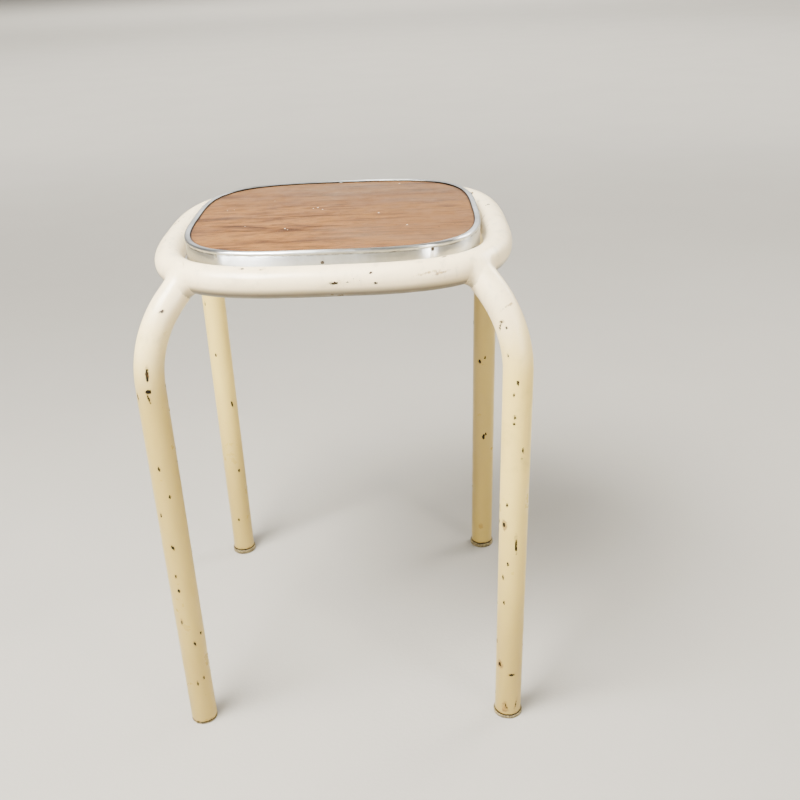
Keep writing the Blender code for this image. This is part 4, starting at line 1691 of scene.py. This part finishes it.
@dataclass
class EdgeTrim:
    """The aluminium strip round the seat: a flat band with a rounded bead over its top edge.

    Attributes:
        outline: Outer face of the bead, from above.
        band_setback: How far the band lies behind the bead's outermost line.
        bead_drop: How far the bead reaches down the band.
        lip: Width of the bead, from above.
        wall: Thickness of the band.
        butt_gap: Gap where the strip's two ends meet, at the back.
        nail_hole: Radius of the holes for the nails' heads.
        stations: Segments round the strip.
    """

    outline: RoundedSquare
    band_setback: float = 0.0004
    bead_drop: float = 0.0034
    lip: float = 0.0051
    wall: float = 0.0011
    butt_gap: float = 0.0004
    nail_hole: float = 0.00166
    stations: int = 240

    def profile(self, bottom: float, top: float, laminate: float) -> list[tuple[float, float]]:
        """The strip's section, as distances in from the outline and heights.

        Args:
            bottom: Height of the band's lower edge.
            top: Height of the bead's top.
            laminate: Height of the laminate that the bead's inner edge comes down to.

        Returns:
            The points right round the section.
        """
        half = self.bead_drop / 2

        def arc(inset: float, height: float, wide: float, high: float, start: int, end: int) -> list:
            """Points on a part of an ellipse, between two angles in degrees."""
            steps = 7
            turns = [math.radians(start + (end - start) * k / steps) for k in range(steps + 1)]
            return [(inset - wide * math.cos(a), height + high * math.sin(a)) for a in turns]

        bead = arc(half, top - half, half, half, -35, 88)
        inner = arc(self.lip - 0.0009, top - 0.0011, 0.0009, 0.0009, 92, 180)
        return [
            (self.band_setback, bottom),
            (self.band_setback, top - self.bead_drop - 0.0003),
            (self.band_setback + 0.0003, top - self.bead_drop + 0.0001),
            *bead,
            *inner,
            (self.lip, laminate + 0.0001),
            (self.band_setback + self.wall, laminate + 0.0001),
            (self.band_setback + self.wall, bottom),
        ]

    def build(self) -> bpy.types.Object:
        """Adds a torus, lays its points on the section all round, and cuts the joint and holes."""
        low, high = node_box("edge_trim")
        laminate = node_box("seat_laminate")[1].z
        section = np.array(self.profile(low.z, high.z, laminate))
        sides = len(section)
        obj = add_torus("aluminium_edge_strip", self.stations, 0, sides, 1, 0.25)
        turn = np.repeat(np.arange(self.stations) / self.stations * 2 * math.pi, sides)
        inset, height = np.tile(section, (self.stations, 1)).T
        reach = self.outline.half - inset
        move_points(obj, np.column_stack([reach * np.cos(turn), reach * np.sin(turn), height]))
        # The lip's inner face gets dirt and painted shade in the material.
        inner = (inset > self.lip - 0.0002) & (height < high.z - 0.0005)
        WearMap.write_values(obj, GRIME_AND_SHADE, inner)
        cut_stations(obj, 1, sides)
        self.outline.take_shape(obj, self.stations)
        with editing(obj):
            tidy_skin()
        cut_with(obj, self.cutter(low.z, high.z))
        return obj

    def cutter(self, low: float, high: float) -> bpy.types.Object:
        """The joint's saw cut at the back, with a hole for each nail's head."""
        saw = (0, self.outline.half, (low + high) / 2)
        bpy.ops.mesh.primitive_cube_add(size=1, location=saw)
        blade = added("saw_cut")
        blade.scale = (self.butt_gap, 0.02, 2 * (high - low))
        tools = [blade]
        for number in range(1, TrimNails.count + 1):
            place, inward = nail_place(number)
            bpy.ops.mesh.primitive_cylinder_add(vertices=20, radius=self.nail_hole, depth=0.006)
            tool = added(f"nail_hole_{number:02d}")
            turn = inward.to_track_quat("Z", "Y").to_matrix().to_4x4()
            tool.matrix_world = Matrix.Translation(place) @ turn
            tools.append(tool)
        cutter = join_all(tools)
        apply_place(cutter)
        return cutter

    def dress(self, finishes: Finishes) -> bpy.types.Object:
        """Builds the strip and hands it over."""
        return finish_piece(self.build(), "edge_trim", Slot.ALUMINIUM, finishes, 50)


def nail_place(number: int) -> tuple[Vector, Vector]:
    """Where a trim nail's head lies, read from its node.

    Args:
        number: The nail's number, from 1.

    Returns:
        The middle of its head's outer face, and its direction into the seat.
    """
    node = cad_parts[f"trim_nail_{number:02d}"]
    points = [v.co.copy() for v in node.data.vertices]
    tip = min(points, key=lambda point: math.hypot(point.x, point.y))
    far = max((point - tip).length for point in points)
    outer = [point for point in points if (point - tip).length > far * 0.995]
    head = sum(outer, Vector()) / len(outer)
    inward = Vector((tip.x - head.x, tip.y - head.y, 0)).normalized()
    return head, inward


@dataclass
class TrimNails:
    """The small nails that hold the trim, each sunk in its hole.

    Attributes:
        count: How many there are.
        clean: Numbers of those that are still bright.
        head: Radius of a head.
        shank: Radius of a shank.
        length: From the outer face of the trim to a nail's tip.
        sunk: How far a head lies below that face.
        sides: Faces round a nail.
    """

    count: int = 10
    clean: tuple[int, ...] = (10, 3, 7)
    head: float = 0.0015
    shank: float = 0.0007
    length: float = 0.0119
    sunk: float = 0.0007
    sides: int = 24

    def build(self, number: int) -> bpy.types.Object:
        """Turns one nail with a dished head and lays it in its hole."""
        profile = [
            (self.head * 0.55, 0.00018),
            (self.head * 0.8, 0.00004),
            (self.head * 0.97, 0.0001),
            (self.head, 0.0003),
            (self.head * 0.95, 0.0007),
            (self.shank * 1.2, 0.0011),
            (self.shank, 0.0014),
            (self.shank, self.length - self.sunk - 0.002),
            (self.shank * 0.1, self.length - self.sunk),
        ]
        obj = turn_up(f"dark_trim_nail_{number:02d}", profile, self.sides, Vector())
        head, inward = nail_place(number)
        turn = inward.to_track_quat("Z", "Y").to_matrix().to_4x4()
        obj.matrix_world = Matrix.Translation(head + inward * self.sunk) @ turn
        return obj

    def dress(self, finishes: Finishes) -> list[bpy.types.Object]:
        """Builds the nails and hands them over. A few of them are still bright."""
        bright = {**finishes, Slot.NAIL: finishes[Slot.ZINC]}
        return [
            finish_piece(
                self.build(number),
                f"trim_nail_{number:02d}",
                Slot.NAIL,
                bright if number in self.clean else finishes,
            )
            for number in range(1, self.count + 1)
        ]


# Under the seat


@dataclass
class SeatFixings:
    """The lugs welded inside the ring, with their welds, screws and washers.

    Attributes:
        tube: The frame's driving sizes.
        hole: Radius of a lug's and a washer's hole.
        corner: Radius of a lug's free corners.
        edge: Radius of a lug's edges.
        washer_edge: Width of a washer's chamfers.
        bead: Radius of a lug's weld.
        sides: Faces round a washer or a screw.
        under_head: Height of a screw's head.
        shank: Radius of a screw's thread.
        pitch: From turn to turn of the thread.
        slot_width: Width of the slot in a screw's head.
        slot_depth: Depth of it.
    """

    tube: TubeFrame
    hole: float = 0.0026
    corner: float = 0.006
    edge: float = 0.0004
    washer_edge: float = 0.0002
    bead: float = 0.0026
    sides: int = 40
    under_head: float = 0.0028
    shank: float = 0.0021
    pitch: float = 0.0013
    slot_width: float = 0.0011
    slot_depth: float = 0.0013

    @property
    def hole_x(self) -> float:
        """Distance of the screws from the stool's axis."""
        low, high = node_box("seat_washer_right")
        return (low.x + high.x) / 2

    def build_lug(self) -> bpy.types.Object:
        """Makes the right-hand lug from a block, with rounded corners and a drilled hole."""
        low, high = node_box("seat_lug_right")
        end = self.tube.ring.half - self.tube.radius * 0.6
        size = Vector((end - low.x, high.y - low.y, high.z - low.z))
        middle = Vector(((end + low.x) / 2, 0, (high.z + low.z) / 2))
        bpy.ops.mesh.primitive_cube_add(size=1, location=middle)
        obj = added("welded_lug_right")
        obj.scale = size
        apply_place(obj)

        def free_corner(edge: bmesh.types.BMEdge) -> bool:
            """Whether an edge is an upright one at the lug's inner end."""
            upright = abs(edge.verts[0].co.z - edge.verts[1].co.z) > 1e-4
            return upright and edge.verts[0].co.x < low.x + 1e-4

        with editing(obj):
            pick_edges(free_corner)
            bpy.ops.mesh.bevel(offset=self.corner, segments=8, affect="EDGES")
        bpy.ops.mesh.primitive_cylinder_add(
            vertices=28, radius=self.hole, depth=0.02, location=(self.hole_x, 0, middle.z)
        )
        cut_with(obj, added("lug_drill"))
        sharp = math.radians(50)
        use_modifier(
            obj, "BEVEL", width=self.edge, segments=3, limit_method="ANGLE", angle_limit=sharp
        )
        return obj

    def build_weld(self) -> bpy.types.Object:
        """Shapes the right-hand lug's weld from a sphere, with the ripples of its run."""
        low, high = node_box("lug_weld_right")
        lug_low, _ = node_box("seat_lug_right")
        half = (high.y - low.y) / 2
        corner = Vector((self.tube.ring.half - self.tube.radius, 0, lug_low.z))
        bpy.ops.mesh.primitive_uv_sphere_add(segments=36, ring_count=72, radius=1)
        obj = added("lug_weld_run_right")
        points = points_of(obj)
        run = np.arcsin(np.clip(points[:, 2], -1, 1)) / (math.pi / 2)
        round_end = np.sqrt(np.clip(1 - np.abs(run) ** 6, 0, 1))
        ripple = 1 + 0.07 * np.sin(run * 34) + 0.04 * np.sin(run * 11 + 1)
        span = np.maximum(np.hypot(points[:, 0], points[:, 1]), 1e-9)
        width = self.bead * round_end * ripple
        level = corner.x + points[:, 0] / span * width
        lift = corner.z + points[:, 1] / span * width
        move_points(obj, np.column_stack([level, run * half, lift]))
        with editing(obj):
            tidy_skin()
        WearMap().write(obj)
        return obj

    def build_washer(self) -> bpy.types.Object:
        """Turns the right-hand washer."""
        low, high = node_box("seat_washer_right")
        radius, thick = (high.x - low.x) / 2, high.z - low.z
        edge = self.washer_edge
        profile = [
            (self.hole, 0),
            (radius - edge, 0),
            (radius, edge),
            (radius, thick - edge),
            (radius - edge, thick),
            (self.hole, thick),
        ]
        place = Vector((self.hole_x, 0, low.z))
        return turn_up("zinc_washer_right", profile, self.sides, place, ring=True)

    def build_screw(self) -> bpy.types.Object:
        """Turns the right-hand screw with a domed, slotted head and a threaded shank."""
        low, high = node_box("seat_screw_right")
        head = (high.x - low.x) / 2
        top = high.z - low.z
        under_head, shank = self.under_head, self.shank
        profile = [(head * 0.3, 0.0), (head * 0.55, 0.0002), (head * 0.78, 0.0007)]
        profile += [(head * 0.93, 0.0013), (head, 0.0021), (head, under_head), (shank, under_head)]
        height = under_head + 0.0045
        while height < top - 0.004:
            profile += [(shank * 0.72, height), (shank, height + 0.0006), (shank * 0.72, height + 0.0010)]
            height += self.pitch
        profile += [(shank * 0.6, top - 0.003), (shank * 0.06, top)]
        obj = turn_up("zinc_screw_right", profile, self.sides, Vector((self.hole_x, 0, low.z)))
        bpy.ops.mesh.primitive_cube_add(size=1, location=(self.hole_x, 0, low.z))
        blade = added("slot_cut")
        blade.scale = (0.02, self.slot_width, 2 * self.slot_depth)
        apply_place(blade)
        cut_with(obj, blade)
        return obj

    def dress(self, finishes: Finishes) -> list[bpy.types.Object]:
        """Builds the right-hand fixings, copies them to the other sides and hands them all over."""
        lug = self.build_lug()
        WearMap().write(lug)
        kinds = (
            (lug, "seat_lug_", Slot.ENAMEL),
            (self.build_weld(), "lug_weld_", Slot.ENAMEL),
            (self.build_washer(), "seat_washer_", Slot.ZINC),
            (self.build_screw(), "seat_screw_", Slot.ZINC),
        )
        made = []
        for side in (Side.BACK, Side.LEFT, Side.FRONT, Side.RIGHT):
            for original, prefix, slot in kinds:
                piece = original
                if side is not Side.RIGHT:
                    name = original.name.replace("right", side.label)
                    piece = copy_turned(original, name, side.turn)
                made.append(finish_piece(piece, prefix + side.label, slot, finishes))
        return made


# The studio


@dataclass
class Studio:
    """A plain pale floor, soft lights and the camera.

    Attributes:
        eye: Where the camera stands.
        heading: Its turn to the left of +Y, in degrees.
        dip: How far it looks down, in degrees.
        roll: How far it is tilted clockwise, in degrees.
        lens: Its focal length in millimetres, on a frame 36 mm wide.
        shift: How far its frame is moved sideways and up, as shares of its width.
        floor_size: Length of the floor's sides.
        floor_colour: Its colour.
        sky: Colour of the soft light from all round.
        sky_strength: Strength of it.
        far_lights: Rings of lights for the floor far away, as distance, height, distance of
            the place that each faces, width and power. Each has the stool behind its back.
    """

    eye: tuple[float, float, float] = (0.0565, -0.8757, 0.6725)
    heading: float = 2.305
    dip: float = 28.08
    roll: float = 2.82
    lens: float = 43.08
    shift: tuple[float, float] = (0.0371, 0.0741)
    floor_size: float = 90.0
    floor_colour: tuple = (0.34, 0.315, 0.265, 1)
    sky: tuple = (1.0, 0.985, 0.96, 1.0)
    sky_strength: float = 0.32
    far_lights: tuple = (
        (3.6, 3.5, 6.9, 4.0, 400),
        (7.5, 4.0, 9.8, 7.0, 620),
        (14.0, 6.0, 19.0, 12.0, 2200),
    )

    def build_camera(self) -> bpy.types.Object:
        """Adds the camera and makes it the scene's."""
        bpy.ops.object.camera_add()
        camera = bpy.context.active_object
        camera.name = "studio_camera"
        turn = (
            Matrix.Rotation(math.radians(self.heading), 4, "Z")
            @ Matrix.Rotation(math.radians(90 - self.dip), 4, "X")
            @ Matrix.Rotation(math.radians(-self.roll), 4, "Z")
        )
        camera.matrix_world = Matrix.Translation(self.eye) @ turn
        camera.data.lens = self.lens
        camera.data.sensor_width = 36
        camera.data.shift_x, camera.data.shift_y = self.shift
        camera.data.clip_start = 0.02
        bpy.context.scene.camera = camera
        return camera

    def build_floor(self) -> bpy.types.Object:
        """Adds the floor, with the faint mottle of a smooth screed."""
        bpy.ops.mesh.primitive_plane_add(size=self.floor_size)
        floor = added("studio_floor")
        board = NodeBoard("pale_screed")
        spot = board.place()
        soft = board.between(board.noise(spot, 3, 6, 0.6), 0.3, 0.7, (0, 0.35))
        shade = (*[channel * 0.9 for channel in self.floor_colour[:3]], 1)
        colour = board.mix(soft, self.floor_colour, shade)
        skin = board.bump(board.noise(spot, 260, 4, 0.6), 0.0003)
        floor.data.materials.append(board.dress(base_color=colour, roughness=0.85, normal=skin))
        return floor

    def add_softbox(
        self,
        name: str,
        place: tuple[float, float, float],
        size: tuple[float, float],
        power: float,
        colour: tuple[float, float, float] = (1, 1, 1),
        target: tuple[float, float, float] = (0, 0, 0.3),
    ) -> bpy.types.Object:
        """Adds one soft light.

        Args:
            name: The light's name.
            place: Where it stands.
            size: Its width and height.
            power: Its power in watts.
            colour: Its colour.
            target: The point that it faces.

        Returns:
            The light.
        """
        bpy.ops.object.light_add(type="AREA", location=place)
        light = bpy.context.active_object
        light.name = name
        light.data.shape = "RECTANGLE"
        light.data.size, light.data.size_y = size
        light.data.energy = power
        light.data.color = colour
        aim = Vector(target) - Vector(place)
        light.rotation_euler = aim.to_track_quat("-Z", "Y").to_euler()
        return light

    def build(self) -> None:
        """Sets up the whole studio."""
        self.build_camera()
        self.build_floor()
        self.add_softbox("key_softbox", (-0.57, -0.58, 1.58), (0.75, 0.75), 142)
        self.add_softbox("fill_softbox", (1.15, -1.2, 0.95), (0.3, 1.1), 24, (1.0, 0.98, 0.95))
        self.add_softbox("low_softbox", (-1.25, -0.92, 0.8), (0.15, 0.7), 5.5)
        self.add_softbox("side_softbox", (1.25, 0.75, 1.35), (0.7, 0.7), 32, (1.0, 0.99, 0.97))
        wall = self.add_softbox("wall_softbox", (0.4, 3.4, 1.65), (4.5, 1.4), 34)
        wall.visible_camera = False
        for number, (far, rise, aim, wide, power) in enumerate(self.far_lights, 1):
            for side in range(6):
                turn = Matrix.Rotation(math.radians(60 * side), 3, "Z")
                self.add_softbox(
                    f"far_softbox_{number}_{side}",
                    tuple(turn @ Vector((0, far, rise))),
                    (wide, wide / 2),
                    power,
                    target=tuple(turn @ Vector((0, aim, 0))),
                )
        world = bpy.data.worlds.new("soft_sky")
        world.use_nodes = True
        background = world.node_tree.nodes["Background"]
        background.inputs["Color"].default_value = self.sky
        background.inputs["Strength"].default_value = self.sky_strength
        bpy.context.scene.world = world
        LOG.info("studio is set up")


# The whole stool

LEG_MARKS: dict[Corner, tuple[Mark, ...]] = {
    Corner.FRONT_LEFT: (
        Mark(0.418, -93, 0.0022, 0.0011, -30),
        Mark(0.374, -85, 0.0056, 0.0014, 2),
        Mark(0.361, -86, 0.0020, 0.0024, 0),
        Mark(0.355, -89, 0.0040, 0.0008, 10),
        Mark(0.355, -142, 0.0034, 0.0011, 8),
        Mark(0.289, -95, 0.0020, 0.0010, 12),
        Mark(0.261, -71, 0.0018, 0.0010, 0),
        Mark(0.242, -122, 0.0022, 0.0009, 0),
        Mark(0.209, -92, 0.0024, 0.0013, 20),
        Mark(0.178, -100, 0.0016, 0.0009, 0),
        Mark(0.162, -97, 0.0021, 0.0012, 0),
        Mark(0.126, -108, 0.0028, 0.0009, 0),
        Mark(0.109, -30, 0.0020, 0.0011, 0),
        Mark(0.100, -66, 0.0024, 0.0010, 12),
        Mark(0.057, -51, 0.0018, 0.0010, 0),
        Mark(0.052, -82, 0.0022, 0.0009, 0),
        Mark(0.30, 60, 0.0030, 0.0014, 10),
        Mark(0.18, 120, 0.0034, 0.0012, -8),
    ),
    Corner.FRONT_RIGHT: (
        Mark(0.412, -68, 0.0004, 0.0052, 10, Wear.RUST),
        Mark(0.405, -116, 0.0009, 0.0014, 0),
        Mark(0.402, -132, 0.0028, 0.0008, -38),
        Mark(0.400, -106, 0.0010, 0.0010, 0),
        Mark(0.380, -131, 0.0016, 0.0008, 0),
        Mark(0.358, -97, 0.0024, 0.0010, 8),
        Mark(0.347, -111, 0.0014, 0.0010, 0),
        Mark(0.327, -104, 0.0016, 0.0011, 0),
        Mark(0.321, -107, 0.0012, 0.0010, 20),
        Mark(0.296, -69, 0.0030, 0.0009, 4),
        Mark(0.288, -72, 0.0012, 0.0008, 0),
        Mark(0.242, -126, 0.0020, 0.0011, 0),
        Mark(0.221, -138, 0.0048, 0.0034, 0, Wear.RUST),
        Mark(0.221, -138, 0.0024, 0.0016, 0),
        Mark(0.201, -84, 0.0072, 0.0010, 3),
        Mark(0.181, -115, 0.0020, 0.0011, 0),
        Mark(0.165, -136, 0.0026, 0.0010, 10),
        Mark(0.138, -128, 0.0022, 0.0010, 0),
        Mark(0.088, -170, 0.0024, 0.0012, 0),
        Mark(0.064, -141, 0.0026, 0.0015, 0),
        Mark(0.064, -141, 0.0052, 0.0034, 0, Wear.RUST),
        Mark(0.054, -83, 0.0014, 0.0030, 0),
        Mark(0.015, -105, 0.0040, 0.0007, 20),
        Mark(0.016, -60, 0.0036, 0.0006, -10),
        Mark(0.012, -110, 0.0070, 0.0030, 0, Wear.RUST),
        Mark(0.27, 40, 0.0032, 0.0013, 0),
        Mark(0.14, 95, 0.0030, 0.0015, 12),
    ),
    Corner.BACK_LEFT: (
        Mark(0.331, -132, 0.0020, 0.0009, 0),
        Mark(0.271, -104, 0.0022, 0.0011, 0),
        Mark(0.208, -50, 0.0042, 0.0012, 6),
        Mark(0.120, -56, 0.0024, 0.0012, 0),
        Mark(0.051, -92, 0.0020, 0.0012, 0),
        Mark(0.24, 100, 0.0030, 0.0012, 0),
        Mark(0.10, 160, 0.0026, 0.0014, 14),
    ),
    Corner.BACK_RIGHT: (
        Mark(0.252, -117, 0.0026, 0.0015, 0),
        Mark(0.257, -90, 0.0018, 0.0010, 0),
        Mark(0.156, -92, 0.0036, 0.0016, 0),
        Mark(0.160, -80, 0.0018, 0.0010, 0),
        Mark(0.031, -100, 0.0030, 0.0022, 0, Wear.RUST),
        Mark(0.29, 20, 0.0030, 0.0012, 0),
        Mark(0.17, 80, 0.0032, 0.0014, -10),
    ),
}


# How much darker each leg is painted below its bend: on the back right leg this is painted shade from the
# seat, on the front left a darker tone.
LEG_DARKENING = {
    Corner.FRONT_LEFT: 0.85,
    Corner.FRONT_RIGHT: 0.0,
    Corner.BACK_LEFT: 0.15,
    Corner.BACK_RIGHT: 0.95,
}


def make_finishes() -> Finishes:
    """Makes the material of every slot."""
    core_low, core_high = node_box("seat_core")
    seat_top = node_box("edge_trim")[1].z
    glide = MottledMetal((0.62, 0.50, 0.26, 1), (0.46, 0.35, 0.15, 1), (0.014, 0.009, 0.004, 1), 0.85, 300)
    nail = MottledMetal(rgb(128, 122, 114), rgb(86, 78, 70), rgb(50, 38, 30), 0.5, 500)
    zinc = MottledMetal(rgb(190, 192, 188), rgb(150, 150, 142), rgb(128, 116, 92), 0.2, 300)
    return {
        Slot.ENAMEL: ChippedEnamel().make(),
        Slot.ALUMINIUM: SatinAluminium(top=seat_top).make(),
        Slot.LAMINATE: WoodGrainLaminate().make(),
        Slot.PLYWOOD: LayeredPly().make(core_low.z, core_high.z - core_low.z),
        Slot.BACKING: FibreBacking().make(),
        Slot.ZINC: zinc.make("zinc_plating"),
        Slot.GLIDE: glide.make("corroded_glide_steel"),
        Slot.NAIL: nail.make("dark_nail_steel"),
        Slot.BEECH: BeechWood().make(),
    }


@dataclass
class Stool:
    """The whole stool, built sub-assembly by sub-assembly."""

    tube: TubeFrame = field(default_factory=TubeFrame.from_nodes)

    def build(self) -> None:
        """Builds the welded frame, its feet, the seat and what holds it."""
        finishes = make_finishes()
        SeatRing(self.tube).dress(finishes)
        for corner in Corner:
            Leg(self.tube, corner, LEG_MARKS[corner], LEG_DARKENING[corner]).dress(finishes)
            LegWeld(self.tube, corner).dress(finishes)
            Foot(self.tube, corner).dress(finishes)
        low, high = node_box("edge_trim")
        outline = RoundedSquare((high.x - low.x) / 2, SEAT_POWER)
        SeatPanel(outline).dress(finishes)
        EdgeTrim(outline).dress(finishes)
        TrimNails().dress(finishes)
        SeatFixings(self.tube).dress(finishes)


def main() -> None:
    """Builds the stool and its studio."""
    logging.basicConfig(level=logging.INFO, format="%(message)s")
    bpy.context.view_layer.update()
    Stool().build()
    Studio().build()
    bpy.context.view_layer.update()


if __name__ == "__main__":
    main()
